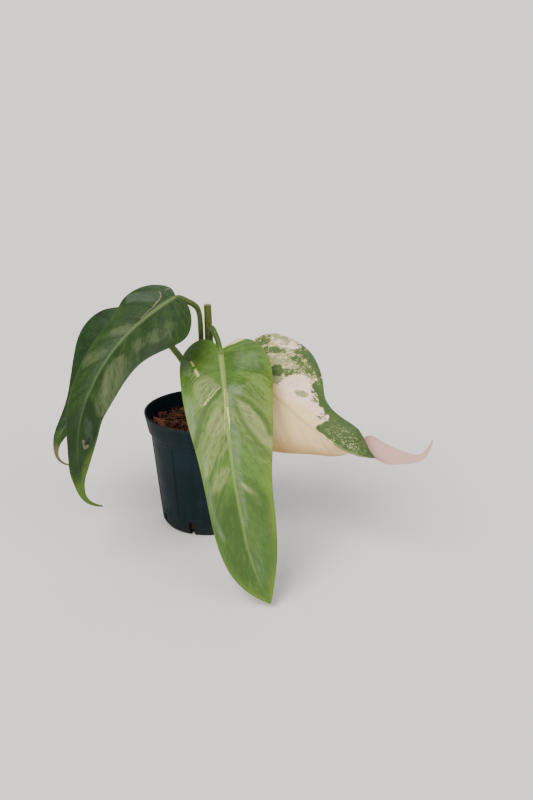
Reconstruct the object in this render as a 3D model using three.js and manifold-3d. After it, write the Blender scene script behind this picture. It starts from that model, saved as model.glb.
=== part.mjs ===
// A young variegated spadeleaf philodendron in a round nursery pot.
// Millimetres, +Z up. The origin is the centre of the pot's underside, and -Y is the front.
import * as THREE from 'three';
import { mergeVertices } from 'three/addons/utils/BufferGeometryUtils.js';
import { ConvexGeometry } from 'three/addons/geometries/ConvexGeometry.js';
import Module from 'manifold-3d';

// Driving dimensions. GAP is the space left between pieces that touch.
const GAP = 0.3;

const POT = {
  height: 97,
  footRadius: 35.5,
  footBevel: 4,
  wallFootRadius: 37.8,
  wallTopRadius: 45.6,
  bandHeight: 16,
  bandLowRadius: 47.2,
  rimRadius: 50.5,
  wall: 1.5,
  floor: 2.2,
  lip: 0.5,
  panels: 8,
  panelHalfAngle: 18,
  panelDepth: 0.7,
  panelStep: 0.7,
  panelFoot: 14,
  panelTop: 77,
  firstPanelAngle: -17.5,
  notchWidth: 5,
  notchDepth: 12,
  notchTop: 12,
};

const SOIL = {
  seed: 41,
  top: 83,
  bump: 1.4,
  rings: 6,
  sectors: 28,
  chips: 38,
  chipShift: 0.5,
  chipTurn: 0.3,
  chipLength: [10, 18],
  chipWidth: [6.5, 10],
  chipHeight: [4, 7],
  chipJitter: 0.28,
  chipTilt: 25,
  chipRise: 0.25,
  clearOfStem: 10,
  clearance: 0.8,
  edgeWidth: 2,
};

const STEM = {
  path: [[5, 3, 46], [5, 3, 62], [5, 2.5, 82], [4.8, 2, 105], [4.2, 1.5, 130], [3.5, 1, 160], [3, 0.5, 185.5]],
  footRadius: 5.4,
  topRadius: 3,
  nodes: [92, 103, 115, 128],
  nodeSwell: 0.55,
  nodeLength: 3,
  sides: 12,
  steps: 30,
};

const PETIOLE = {
  footRadius: 3.9,
  radius: 2.7,
  neckRadius: 2.1,
  footShare: 0.16,
  grooveDepth: 0.16,
  underBlade: 1.2,
  blendBack: 0.45,
  blendAhead: 4,
  sides: 8,
  steps: 22,
};

// Blade thickness at the midrib and at the margin, and the rib that stands out below the midrib's foot.
const BLADE = { thickness: 0.9, marginThickness: 0.7, rib: 1.1, columns: 4, crowding: 0.7, veinSweep: 1.25 };
// Width at which a row's curl, in degrees, has turned the blade once through that angle.
const CURL_WIDTH = 36;

// Each spine row: x, y, z, then in degrees the roll, the fold of the left and of the right half, and the
// curl of the left and of the right half. The spine begins `lobe` mm behind the sinus. `stout` scales the
// thickness of the leaf's stalk.
// Each margin row: share of the blade's length past the sinus, and mm out from the midrib.
const LEAVES = {
  front: {
    rows: 28,
    lobe: 20,
    stout: 1,
    up: [0, -0.6, 0.8],
    spine: [
      [11, -14, 168, 0, -14, -14, -30, -30],
      [14, -32, 160, 0, -8, -8, -26, -26],
      [18, -58, 138, 0, 4, 4, -18, -14],
      [20.5, -76, 112, 0, 6, 6, -14, -12],
      [25, -98, 83, 0, 6, 6, -10, -10],
      [31.5, -117, 54, 0, 6, 6, -6, -6],
      [38.5, -135, 27, 0, 6, 6, 0, 0],
      [47.5, -146, 12, 0, 4, 4, 0, 0],
      [52.5, -150, 4.5, 0, 0, 0, 0, 0],
    ],
    left: [
      [-0.01, 1.5], [-0.02, 6], [-0.07, 13], [-0.105, 33.25], [-0.08, 42], [0.07, 41], [0.235, 35.25],
      [0.39, 33.75], [0.545, 26.75], [0.73, 25], [0.865, 19], [0.95, 9], [0.985, 3.75], [1, 0.6],
    ],
    right: [
      [-0.01, 1.5], [-0.035, 2], [-0.085, 9.5], [-0.105, 23], [-0.05, 35], [0.1, 34], [0.28, 31.5],
      [0.43, 24.5], [0.58, 22.5], [0.74, 22.25], [0.865, 18.25], [0.945, 9.5], [0.985, 3], [1, 0.6],
    ],
    petiole: [
      [5.8, 0, 119], [5.6, -5.2, 131], [5.2, -5.8, 150], [5.2, -7.3, 163], [6.2, -12, 172.5], [9.7, -22, 168.5],
    ],
  },
  left: {
    rows: 30,
    lobe: 9,
    stout: 1,
    up: [-0.35, -0.62, 0.7],
    spine: [
      [-15, -9, 197.5, 0, -4, 4, -25, -25],
      [-22, -17, 196.5, 0, -2, 6, -22, -22],
      [-40, -29, 187, 0, 4, 8, -16, -16],
      [-65.5, -43, 166, 0, 6, 8, -16, -16],
      [-82.5, -57, 140, 0, 6, 6, -16, -16],
      [-93, -71, 112, 0, 8, 8, -14, -14],
      [-91.5, -84, 88, 0, 8, 8, -10, -10],
      [-90, -95, 68, 0, 8, 8, -6, -6],
      [-84, -99, 59, 0, 6, 6, 0, 0],
      [-72.5, -100, 58, 0, 0, 0, 0, 0],
    ],
    left: [
      [-0.01, 1.5], [-0.01, 5], [-0.02, 11], [0.04, 32.5], [0.115, 43], [0.22, 35.75], [0.32, 28.75],
      [0.51, 27.25], [0.6, 22.5], [0.71, 21.5], [0.83, 9.75], [0.88, 2], [1, 0.6],
    ],
    right: [
      [-0.01, 1.5], [-0.02, 6], [-0.055, 15], [-0.025, 30.75], [0.1, 36.25], [0.165, 32.25], [0.22, 22],
      [0.44, 21.5], [0.58, 16.75], [0.71, 9], [0.84, 9.75], [0.88, 3.5], [1, 0.6],
    ],
    petiole: [
      [3.2, 1.8, 111], [-2, 2, 125], [-2.8, 1.5, 150], [-2.7, 0, 170], [-3.6, -2.5, 183],
      [-7.5, -6.5, 188], [-14.5, -11.5, 193],
    ],
  },
  back: {
    rows: 26,
    lobe: 8,
    stout: 1.3,
    up: [-0.3, -0.65, 0.7],
    spine: [
      [-53, 23, 170, 0, 0, 6, -25, -25],
      [-61, 21, 169, 0, 0, 8, -22, -22],
      [-74, 20, 162, 0, 4, 10, -16, -16],
      [-84, 16, 147, 0, 6, 10, -16, -16],
      [-92, 9, 125, 0, 6, 10, -16, -16],
      [-101, 0, 103, 0, 8, 8, -14, -14],
      [-113, -9, 86, 0, 8, 6, -10, -10],
      [-124, -15, 72, 0, 8, 4, -6, -6],
      [-121, -19, 57, 0, 6, 2, 0, 0],
      [-110, -20, 56, 0, 0, 0, 0, 0],
    ],
    left: [
      [-0.01, 1.5], [-0.02, 5], [-0.045, 11], [-0.04, 20], [0.03, 28], [0.15, 31], [0.28, 26],
      [0.44, 20], [0.62, 13], [0.77, 7], [0.86, 3], [0.94, 1.5], [1, 0.6],
    ],
    right: [
      [-0.01, 1.5], [-0.01, 4], [-0.02, 7.5], [0, 12], [0.05, 16], [0.11, 24], [0.21, 30],
      [0.4, 23], [0.61, 13.5], [0.77, 8], [0.86, 2.5], [0.93, 1.2], [1, 0.6],
    ],
    petiole: [[4, 3, 99], [-4.5, 7.5, 110], [-11, 12.5, 122], [-22, 16, 139], [-36, 20, 154], [-49, 22, 165]],
  },
  right: {
    rows: 64,
    lobe: 14,
    stout: 1,
    up: [0.1, -0.85, 0.6],
    spine: [
      [21, 1.5, 147, 0, 0, 0, -18, -18],
      [32, -10, 139, 0, 0, 0, -18, -18],
      [41.5, -21, 131.5, 0, 0, 0, -15, -15],
      [52.5, -34.5, 125, -4, -4, -4, -15, -15],
      [68, -48.5, 116, -14, -16, -12, -14, -12],
      [84.5, -62, 105.5, -24, -40, -24, -14, -8],
      [99.5, -72.5, 97.5, -38, -60, -36, -8, -4],
      [111, -79, 92, -60, -68, -60, 0, 0],
      [121, -81.5, 90, -100, -60, -65, 0, 0],
      [130.5, -83, 89.5, -140, -35, -35, 0, 0],
      [141, -84, 90, -170, -8, -8, 0, 0],
      [150.5, -84, 89.5, -180, 0, 0, 0, 0],
      [160.5, -84.5, 88.5, -180, 0, 0, 0, 0],
      [169.5, -84, 90, -180, 0, 0, 0, 0],
      [174.5, -79, 102.5, -180, 0, 0, 0, 0],
    ],
    left: [
      [-0.01, 1.5], [-0.03, 7], [-0.06, 15], [-0.06, 33], [-0.01, 50], [0.13, 54], [0.3, 42],
      [0.37, 27], [0.45, 26], [0.55, 30], [0.62, 20.5], [0.72, 9], [0.86, 2.6], [1, 0.6],
    ],
    right: [
      [-0.01, 1.5], [-0.02, 5], [-0.03, 11], [0, 21], [0.06, 30], [0.18, 36], [0.32, 42],
      [0.425, 29], [0.51, 19], [0.6, 19.5], [0.68, 23.5], [0.755, 16], [0.82, 5.5], [1, 0.6],
    ],
    petiole: [[5.5, 2, 90], [12.5, 4.5, 103], [15.5, 7.5, 120], [19, 6.5, 137], [23, 2, 144]],
  },
};

const FINISH = {
  pot: { color: 0x3a4f55, roughness: 0.55 },
  soil: { color: 0x5b2f20, roughness: 0.95 },
  stem: { color: 0x7d9a3c, roughness: 0.5 },
  petiole: { color: 0x86a04a, roughness: 0.45 },
  front: { color: 0x7fa048, roughness: 0.4 },
  left: { color: 0x4d6f3f, roughness: 0.42 },
  back: { color: 0x3f5c38, roughness: 0.5 },
  right: { color: 0xd9d3ac, roughness: 0.45 },
};

const wasm = await Module();
wasm.setup();

const rad = THREE.MathUtils.degToRad;
const lerp = THREE.MathUtils.lerp;

// Seeded random numbers from 0 to 1.
function makeRandom(seed) {
  let state = seed;
  return () => {
    state = (state + 0x6d2b79f5) | 0;
    let t = Math.imul(state ^ (state >>> 15), 1 | state);
    t = (t + Math.imul(t ^ (t >>> 7), 61 | t)) ^ t;
    return ((t ^ (t >>> 14)) >>> 0) / 4294967296;
  };
}

// A clamped uniform cubic B-spline through control rows of any width, at t from 0 to 1.
function bspline(rows, t) {
  const spans = rows.length - 3;
  const u = THREE.MathUtils.clamp(t, 0, 1) * spans;
  const span = Math.min(Math.floor(u), spans - 1);
  const knot = (i) => THREE.MathUtils.clamp(i - 3, 0, spans);
  const work = [0, 1, 2, 3].map((j) => rows[span + j].slice());
  for (let r = 1; r <= 3; r++) {
    for (let j = 3; j >= r; j--) {
      const low = knot(span + j);
      const high = knot(span + 4 + j - r);
      const share = (u - low) / (high - low);
      work[j] = work[j].map((value, k) => lerp(work[j - 1][k], value, share));
    }
  }
  return work[3];
}

// A closed solid from an indexed list of points and triangles.
function meshGeometry(points, triangles) {
  const geometry = new THREE.BufferGeometry().setFromPoints(points);
  geometry.setIndex(triangles.flat());
  return geometry;
}

// A closed skin over rings of equal length, with a fan to a centre point at each end.
function skin(rings, firstCentre, lastCentre) {
  const count = rings[0].length;
  const points = rings.flat();
  const triangles = [];
  for (let i = 0; i < rings.length - 1; i++) {
    for (let j = 0; j < count; j++) {
      const a = i * count + j;
      const b = i * count + ((j + 1) % count);
      triangles.push([a, b, b + count], [a, b + count, a + count]);
    }
  }
  const first = points.push(firstCentre) - 1;
  const last = points.push(lastCentre) - 1;
  const end = (rings.length - 1) * count;
  for (let j = 0; j < count; j++) {
    const next = (j + 1) % count;
    triangles.push([first, next, j], [last, end + j, end + next]);
  }
  return meshGeometry(points, triangles);
}

function solidOf(geometry) {
  const bare = geometry.clone();
  bare.deleteAttribute('normal');
  bare.deleteAttribute('uv');
  const merged = mergeVertices(bare, 1e-4);
  return new wasm.Manifold(new wasm.Mesh({
    numProp: 3,
    vertProperties: new Float32Array(merged.attributes.position.array),
    triVerts: new Uint32Array(merged.index.array),
  }));
}

// The largest body of a solid, as a geometry.
function geometryOf(solid) {
  const bodies = solid.decompose().sort((a, b) => b.volume() - a.volume());
  const mesh = bodies[0].getMesh();
  const geometry = new THREE.BufferGeometry();
  geometry.setAttribute('position', new THREE.BufferAttribute(new Float32Array(mesh.vertProperties), 3));
  geometry.setIndex(new THREE.BufferAttribute(new Uint32Array(mesh.triVerts), 1));
  return geometry;
}

function makeMesh(name, geometry, finish) {
  const shaded = geometry.toNonIndexed();
  shaded.computeVertexNormals();
  const mesh = new THREE.Mesh(shaded, new THREE.MeshStandardMaterial({ ...finish, metalness: 0 }));
  mesh.name = name;
  return mesh;
}

// A leaf blade. Flat leaf coordinates are `along`, mm from the sinus to the tip, and `out`, mm from the
// midrib with the right half positive. Each half bends about the midrib by its fold and then by its curl.
class Blade {
  constructor(leaf) {
    this.leaf = leaf;
    const samples = 400;
    const fine = Array.from({ length: samples }, (_, i) => bspline(leaf.spine, i / (samples - 1)));
    const place = (row) => new THREE.Vector3(row[0], row[1], row[2]);
    const travelled = [0];
    for (let i = 1; i < samples; i++) {
      travelled.push(travelled[i - 1] + place(fine[i]).distanceTo(place(fine[i - 1])));
    }
    const total = travelled[samples - 1];
    this.length = total - leaf.lobe;
    this.step = total / (samples - 1);
    this.rows = [];
    let k = 0;
    for (let i = 0; i < samples; i++) {
      const wanted = Math.min(i * this.step, total);
      while (k < samples - 2 && travelled[k + 1] < wanted) {
        k++;
      }
      const share = (wanted - travelled[k]) / (travelled[k + 1] - travelled[k]);
      this.rows.push(bspline(leaf.spine, (k + share) / (samples - 1)));
    }
    this.frames = this.makeFrames(this.rows.map(place));
  }

  // Frames that turn as little as they can along the spine, and then roll.
  makeFrames(points) {
    let up = new THREE.Vector3(...this.leaf.up);
    return points.map((point, i) => {
      const before = points[Math.max(i - 1, 0)];
      const after = points[Math.min(i + 1, points.length - 1)];
      const tangent = after.clone().sub(before).normalize();
      up = up.clone().addScaledVector(tangent, -up.dot(tangent)).normalize();
      const side = tangent.clone().cross(up);
      const roll = rad(this.rows[i][3]);
      const across = side.clone().multiplyScalar(Math.cos(roll)).addScaledVector(up, Math.sin(roll));
      const normal = up.clone().multiplyScalar(Math.cos(roll)).addScaledVector(side, -Math.sin(roll));
      return { point, across, normal };
    });
  }

  place(along, out) {
    const at = THREE.MathUtils.clamp((along + this.leaf.lobe) / this.step, 0, this.rows.length - 1.001);
    const i = Math.floor(at);
    const share = at - i;
    const [a, b] = [this.frames[i], this.frames[i + 1]];
    const row = this.rows[i].map((value, k) => lerp(value, this.rows[i + 1][k], share));
    const half = out >= 0 ? 1 : 0;
    const fold = rad(row[4 + half]);
    const bend = rad(row[6 + half]) / CURL_WIDTH;
    const curl = Math.abs(bend) < 1e-6 ? 1e-6 : bend;
    const reach = Math.abs(out);
    const sideways = ((Math.sin(fold + curl * reach) - Math.sin(fold)) / curl) * Math.sign(out);
    const upward = -(Math.cos(fold + curl * reach) - Math.cos(fold)) / curl;
    return a.point.clone().lerp(b.point, share)
      .addScaledVector(a.across.clone().lerp(b.across, share), sideways)
      .addScaledVector(a.normal.clone().lerp(b.normal, share), upward);
  }

  // The margin of one half at q, moved out from the blade's edge by `grow`.
  margin(outline, q, grow) {
    const [before, here, after] = [q - 0.005, q, q + 0.005].map((at) => {
      const row = bspline(outline, at);
      return [row[0] * this.length, row[1]];
    });
    const [run, rise] = [after[0] - before[0], after[1] - before[1]];
    const travel = Math.hypot(run, rise);
    return [here[0] - (grow * rise) / travel, here[1] + (grow * run) / travel];
  }

  // A point of the blade: q runs from sinus to tip, v from -1 at the left margin to 1 at the right one.
  // The lines of equal q follow the side veins, which leave the midrib behind where they meet the margin.
  point(q, v, grow = 0) {
    const [marginAlong, marginOut] = this.margin(v < 0 ? this.leaf.left : this.leaf.right, q, grow);
    const share = Math.abs(v);
    const root = this.length * q * q + grow * (2 * q - 1);
    return this.place(lerp(root, marginAlong, share ** BLADE.veinSweep), Math.sign(v) * marginOut * share);
  }

  // The blade as a solid. `grow` thickens it on every side, for cutting a neighbour clear of it.
  // The rows stand closest at the sinus and the tip, where the outline turns most.
  geometry(grow = 0) {
    const { columns } = BLADE;
    const { rows } = this.leaf;
    const width = 2 * columns + 1;
    const top = [];
    const bottom = [];
    for (let i = 0; i <= rows; i++) {
      const wave = Math.sin((2 * Math.PI * i) / rows) / (2 * Math.PI);
      const q = i / rows - BLADE.crowding * wave;
      for (let j = 0; j < width; j++) {
        const v = j / columns - 1;
        const ahead = this.point(Math.min(q + 0.01, 1), v).sub(this.point(Math.max(q - 0.01, 0), v));
        const aside = this.point(q, Math.min(v + 0.04, 1)).sub(this.point(q, Math.max(v - 0.04, -1)));
        const normal = aside.cross(ahead).normalize();
        const half = lerp(BLADE.thickness, BLADE.marginThickness, Math.abs(v)) / 2 + grow;
        const rib = v === 0 ? BLADE.rib * (1 - q) : 0;
        const middle = this.point(q, v, grow);
        top.push(middle.clone().addScaledVector(normal, half));
        bottom.push(middle.clone().addScaledVector(normal, -half - rib));
      }
    }
    const under = top.length;
    const triangles = [];
    for (let i = 0; i < rows; i++) {
      for (let j = 0; j < width - 1; j++) {
        const [a, b, c, d] = [i * width + j, i * width + j + 1, (i + 1) * width + j + 1, (i + 1) * width + j];
        const split = j < columns ? [[a, b, c], [a, c, d]] : [[a, b, d], [b, c, d]];
        for (const [p, r, s] of split) {
          triangles.push([p, r, s], [under + p, under + s, under + r]);
        }
      }
    }
    const run = (count, at) => Array.from({ length: count }, (_, k) => at(k));
    const edge = [
      ...run(rows, (k) => k * width),
      ...run(width - 1, (k) => rows * width + k),
      ...run(rows, (k) => (rows - k + 1) * width - 1),
      ...run(width - 1, (k) => width - 1 - k),
    ];
    edge.forEach((a, i) => {
      const b = edge[(i + 1) % edge.length];
      triangles.push([a, b, under + b], [a, under + b, under + a]);
    });
    return meshGeometry([...top, ...bottom], triangles);
  }
}

// A round bar along a spline. `shape` gives the radius from the share of the way along, the angle and
// the centre.
function bar(path, steps, sides, shape) {
  const centres = [];
  for (let i = 0; i <= steps; i++) {
    centres.push(new THREE.Vector3(...bspline(path, i / steps)));
  }
  let side = new THREE.Vector3(1, 0, 0);
  const rings = centres.map((centre, i) => {
    const before = centres[Math.max(i - 1, 0)];
    const after = centres[Math.min(i + 1, steps)];
    const tangent = after.clone().sub(before).normalize();
    side = side.clone().addScaledVector(tangent, -side.dot(tangent)).normalize();
    const third = tangent.clone().cross(side);
    return Array.from({ length: sides }, (_, j) => {
      const angle = (2 * Math.PI * j) / sides;
      const radius = shape(i / steps, angle, centre);
      return centre.clone()
        .addScaledVector(side, radius * Math.cos(angle))
        .addScaledVector(third, radius * Math.sin(angle));
    });
  });
  return skin(rings, centres[0], centres[steps]);
}

function stemGeometry(grow = 0) {
  return bar(STEM.path, STEM.steps, STEM.sides, (share, _, centre) => {
    const swell = STEM.nodes.reduce((sum, z) => {
      return sum + STEM.nodeSwell * Math.exp(-(((centre.z - z) / STEM.nodeLength) ** 2));
    }, 0);
    return lerp(STEM.footRadius, STEM.topRadius, share) + swell + grow;
  });
}

// A leaf stalk from the main stem to the sinus. Its foot is broad where it clasps the stem.
function petioleSolid(leaf, blade, stem) {
  const drop = new THREE.Vector3(0, 0, -PETIOLE.underBlade);
  const ends = [-PETIOLE.blendBack * leaf.lobe, 0, PETIOLE.blendAhead].map((along) => {
    return blade.place(along, 0).add(drop).toArray();
  });
  const path = [...leaf.petiole, ...ends];
  const geometry = bar(path, PETIOLE.steps, PETIOLE.sides, (share, angle) => {
    const foot = Math.max(1 - share / PETIOLE.footShare, 0);
    const slim = lerp(PETIOLE.radius, PETIOLE.neckRadius, share);
    const radius = leaf.stout * (slim + (PETIOLE.footRadius - PETIOLE.radius) * foot);
    return radius * (1 - PETIOLE.grooveDepth * Math.max(Math.cos(2 * angle), 0));
  });
  return solidOf(geometry).subtract(stem).subtract(solidOf(blade.geometry(GAP)));
}

// One ring of the pot at a height, with flat-bottomed panels sunk into the outside by `sink`.
function potRing(radius, z, sink) {
  const pitch = 360 / POT.panels;
  const half = POT.panelHalfAngle;
  const inner = half - POT.panelStep;
  const inPanel = [-half, -inner, -half / 2, 0, half / 2, inner, half];
  const ring = [];
  for (let k = 0; k < POT.panels; k++) {
    inPanel.forEach((angle, i) => {
      const depth = i > 0 && i < inPanel.length - 1 ? sink : 0;
      const turn = rad(POT.firstPanelAngle + k * pitch + angle - 90);
      ring.push(new THREE.Vector3((radius - depth) * Math.cos(turn), (radius - depth) * Math.sin(turn), z));
    });
  }
  return ring;
}

// Outside radius of the pot's wall below the band.
function wallRadius(z) {
  const share = (z - POT.footBevel) / (POT.height - POT.bandHeight - POT.footBevel);
  return lerp(POT.wallFootRadius, POT.wallTopRadius, share);
}

function innerRadius(z) {
  const bandFoot = POT.height - POT.bandHeight;
  const outside = z > bandFoot
    ? lerp(POT.bandLowRadius, POT.rimRadius, (z - bandFoot) / POT.bandHeight)
    : wallRadius(Math.max(z, POT.footBevel));
  return outside - POT.wall - (z > bandFoot ? 0 : POT.panelDepth);
}

function potSolid() {
  const bandFoot = POT.height - POT.bandHeight;
  const { panelFoot, panelTop } = POT;
  const rimInner = POT.rimRadius - POT.wall;
  const rings = [
    potRing(POT.footRadius, 0, 0),
    potRing(wallRadius(POT.footBevel), POT.footBevel, 0),
    potRing(wallRadius(panelFoot), panelFoot, 0),
    potRing(wallRadius(panelFoot + 1), panelFoot + 1, POT.panelDepth),
    potRing(wallRadius(panelTop - 1), panelTop - 1, POT.panelDepth),
    potRing(wallRadius(panelTop), panelTop, 0),
    potRing(wallRadius(bandFoot), bandFoot, 0),
    potRing(POT.bandLowRadius, bandFoot + POT.lip, 0),
    potRing(POT.rimRadius, POT.height - POT.lip, 0),
    potRing(POT.rimRadius - POT.lip, POT.height, 0),
    potRing(rimInner + POT.lip, POT.height, 0),
    potRing(rimInner, POT.height - POT.lip, 0),
    potRing(innerRadius(bandFoot + POT.lip), bandFoot + POT.lip, 0),
    potRing(innerRadius(bandFoot - 1), bandFoot - 1, 0),
    potRing(innerRadius(POT.footBevel), POT.footBevel, 0),
    potRing(POT.footRadius - POT.wall, POT.floor, 0),
  ];
  let solid = solidOf(skin(rings, new THREE.Vector3(0, 0, 0), new THREE.Vector3(0, 0, POT.floor)));
  for (let k = 0; k < POT.panels; k++) {
    const notch = new THREE.BoxGeometry(POT.notchWidth, POT.notchDepth, 2 * POT.notchTop);
    notch.translate(0, -POT.footRadius, 0);
    notch.rotateZ(rad(POT.firstPanelAngle + (k * 360) / POT.panels));
    solid = solid.subtract(solidOf(notch));
  }
  return solid;
}

// A bark chip: a box with shaken corners, laid at a slant and sunk partly into the mix.
function chipSolid(random, x, y, z) {
  const between = ([low, high]) => lerp(low, high, random());
  const half = [between(SOIL.chipLength) / 2, between(SOIL.chipWidth) / 2, between(SOIL.chipHeight) / 2];
  const shaken = (size) => size * (1 + SOIL.chipJitter * (2 * random() - 1));
  const corners = [];
  for (let k = 0; k < 8; k++) {
    const signs = [k & 1 ? 1 : -1, k & 2 ? 1 : -1, k & 4 ? 1 : -1];
    corners.push(new THREE.Vector3(...signs.map((sign, i) => sign * shaken(half[i]))));
  }
  const chip = new ConvexGeometry(corners);
  chip.rotateX(rad(SOIL.chipTilt * (2 * random() - 1)));
  chip.rotateY(rad(SOIL.chipTilt * (2 * random() - 1)));
  chip.rotateZ(2 * Math.PI * random());
  chip.translate(x, y, z + half[2] * SOIL.chipRise);
  return solidOf(chip);
}

// The bark and coir mix that fills the pot, in one piece, with a plain hole for the stem.
function soilSolid() {
  const random = makeRandom(SOIL.seed);
  const ringAt = (radius, height) => Array.from({ length: SOIL.sectors }, (_, j) => {
    const turn = (2 * Math.PI * j) / SOIL.sectors;
    return new THREE.Vector3(radius * Math.cos(turn), radius * Math.sin(turn), height());
  });
  const surface = () => SOIL.top + SOIL.bump * (2 * random() - 1);
  const bandFoot = POT.height - POT.bandHeight;
  const low = POT.floor + GAP;
  const clear = (z) => ringAt(innerRadius(z) - SOIL.clearance, () => z);
  const below = [
    ringAt(POT.footRadius - POT.wall - SOIL.clearance, () => low),
    clear(POT.footBevel + SOIL.clearance),
    clear(bandFoot - 1),
  ];
  const edge = innerRadius(SOIL.top) - SOIL.edgeWidth;
  const rings = [...below, ringAt(edge, () => SOIL.top - SOIL.bump)];
  for (let k = 1; k < SOIL.rings; k++) {
    rings.push(ringAt(edge * (1 - k / SOIL.rings), surface));
  }
  const centre = (z) => new THREE.Vector3(0, 0, z);
  let solid = solidOf(skin(rings, centre(low), centre(SOIL.top)));
  const [stemX, stemY] = STEM.path[2];
  const goldenAngle = Math.PI * (3 - Math.sqrt(5));
  for (let k = 0; k < SOIL.chips; k++) {
    const distance = edge * Math.sqrt((k + SOIL.chipShift * random()) / SOIL.chips);
    const turn = k * goldenAngle + SOIL.chipTurn * random();
    const [x, y] = [distance * Math.cos(turn), distance * Math.sin(turn)];
    if (Math.hypot(x - stemX, y - stemY) > SOIL.clearOfStem) {
      solid = solid.add(chipSolid(random, x, y, SOIL.top));
    }
  }
  const above = POT.height - 1;
  const inside = skin([...below, clear(bandFoot + 1), clear(above)], centre(low), centre(above));
  return solid.intersect(solidOf(inside)).subtract(solidOf(stemGeometry(GAP)));
}

const plant = new THREE.Group();

const potGroup = new THREE.Group();
potGroup.add(makeMesh('pot', geometryOf(potSolid()), FINISH.pot));
potGroup.add(makeMesh('potting_mix', geometryOf(soilSolid()), FINISH.soil));
plant.add(potGroup);

plant.add(makeMesh('stem', stemGeometry(), FINISH.stem));
const clearStem = solidOf(stemGeometry(GAP));
for (const [name, leaf] of Object.entries(LEAVES)) {
  const blade = new Blade(leaf);
  const frond = new THREE.Group();
  frond.add(makeMesh(`petiole_${name}`, geometryOf(petioleSolid(leaf, blade, clearStem)), FINISH.petiole));
  frond.add(makeMesh(`leaf_${name}`, blade.geometry(), FINISH[name]));
  plant.add(frond);
}

export default plant;
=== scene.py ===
"""A young variegated spadeleaf philodendron in a round nursery pot.

Every surface is worked out in millimetres and becomes a mesh in metres. The origin is the centre of
the pot's underside, +Z is up, and -Y is the side that the camera looks at.
"""
import logging
import math
from dataclasses import dataclass, field, replace
from enum import Enum
from functools import reduce

import bmesh
import bpy
import numpy as np
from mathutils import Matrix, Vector


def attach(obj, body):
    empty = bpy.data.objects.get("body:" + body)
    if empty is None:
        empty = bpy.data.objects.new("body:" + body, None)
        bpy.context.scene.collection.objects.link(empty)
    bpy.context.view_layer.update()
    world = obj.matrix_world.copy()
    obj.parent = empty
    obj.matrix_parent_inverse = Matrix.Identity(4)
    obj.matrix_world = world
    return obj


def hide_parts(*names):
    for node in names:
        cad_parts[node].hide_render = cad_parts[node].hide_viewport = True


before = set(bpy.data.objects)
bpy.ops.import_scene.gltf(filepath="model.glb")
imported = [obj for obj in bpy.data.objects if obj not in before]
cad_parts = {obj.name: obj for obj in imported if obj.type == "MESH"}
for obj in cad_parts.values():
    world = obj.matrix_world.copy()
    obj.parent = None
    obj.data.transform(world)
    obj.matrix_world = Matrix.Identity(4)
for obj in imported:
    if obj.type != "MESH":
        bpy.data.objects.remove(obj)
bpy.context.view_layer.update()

LOG = logging.getLogger("spadeleaf")
BODY = "root"
METRES_PER_MM = 0.001
MM_PER_CM = 10
MM_PER_DM = 100
WELD_METRES = 1e-7
TINY = 1e-6

Array = np.ndarray
Colour = tuple[float, float, float]
Point = tuple[float, float, float]
Rows = tuple[tuple[float, ...], ...]
Material = bpy.types.Material
Piece = bpy.types.Object
Socket = bpy.types.NodeSocket
Value = float | Colour | Socket


# Shapes


def spline(rows: Rows | Array, share: Array) -> Array:
    """A clamped uniform cubic B-spline through control rows of any width.

    Args:
        rows: The control rows, four or more.
        share: How far along each point lies, from 0 to 1.

    Returns:
        One row for each share.
    """
    control = np.asarray(rows, float)
    spans = len(control) - 3
    knots = np.clip(np.arange(len(control) + 4) - 3, 0, spans)
    place = np.clip(np.asarray(share, float), 0, 1) * spans
    span = np.minimum(place.astype(int), spans - 1)
    work = [control[span + j] for j in range(4)]
    for r in range(1, 4):
        for j in range(3, r - 1, -1):
            low = knots[span + j]
            high = knots[span + 4 + j - r]
            mix = ((place - low) / (high - low))[:, None]
            work[j] = (1 - mix) * work[j - 1] + mix * work[j]
    return work[3]


def smooth(value: Array, low: float, high: float) -> Array:
    """A soft step from 0 at low to 1 at high: 3t^2 - 2t^3 of the clipped share t."""
    share = np.clip((value - low) / (high - low), 0, 1)
    return share * share * (3 - 2 * share)


def between(low: float, high: float, share: Array) -> Array:
    """The value at a share of the way from low to high."""
    return low + (high - low) * share


def bell(value: Array, middle: float, width: float) -> Array:
    """A bell curve of height 1: e to the power of minus ((value - middle) / width) squared."""
    return np.exp(-((value - middle) / width) ** 2)


def round_steps(count: int) -> Array:
    """The angles of equal steps round a whole turn."""
    return 2 * np.pi * np.arange(count) / count


def around(radius: Array, turn: Array, height: Array) -> Array:
    """Points round the upright axis: radius cos turn, radius sin turn, height."""
    return np.stack(np.broadcast_arrays(radius * np.cos(turn), radius * np.sin(turn), height), -1)


def ripple(points: Array, wavelength: float, seed: int) -> Array:
    """Soft random waves: nine sines in seeded random directions, summed and divided by four.

    Args:
        points: Coordinates, with the axes of space last.
        wavelength: The middle length of the waves, in the units of the points.
        seed: Which waves are drawn.

    Returns:
        One height for each point, mostly from -1 to 1.
    """
    waves = 9
    draw = np.random.default_rng(seed)
    turns = draw.normal(size=(waves, points.shape[-1]))
    turns /= np.linalg.norm(turns, axis=1)[:, None]
    turns *= 2 * np.pi / wavelength * draw.uniform(0.6, 1.7, (waves, 1))
    return np.sin(points @ turns.T + draw.uniform(0, 2 * np.pi, waves)).sum(-1) / 4


def turned(points: Array, angle: Array, axis: int) -> Array:
    """Groups of points turned about an axis through the origin, from the next axis to the one after.

    Args:
        points: Points, groups by points by x, y and z.
        angle: The angle of each group.
        axis: The number of the axis.

    Returns:
        The turned points.
    """
    near, far = (axis + 1) % 3, (axis + 2) % 3
    cos, sin = np.cos(angle)[:, None], np.sin(angle)[:, None]
    result = points.copy()
    result[..., near] = points[..., near] * cos - points[..., far] * sin
    result[..., far] = points[..., near] * sin + points[..., far] * cos
    return result


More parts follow.
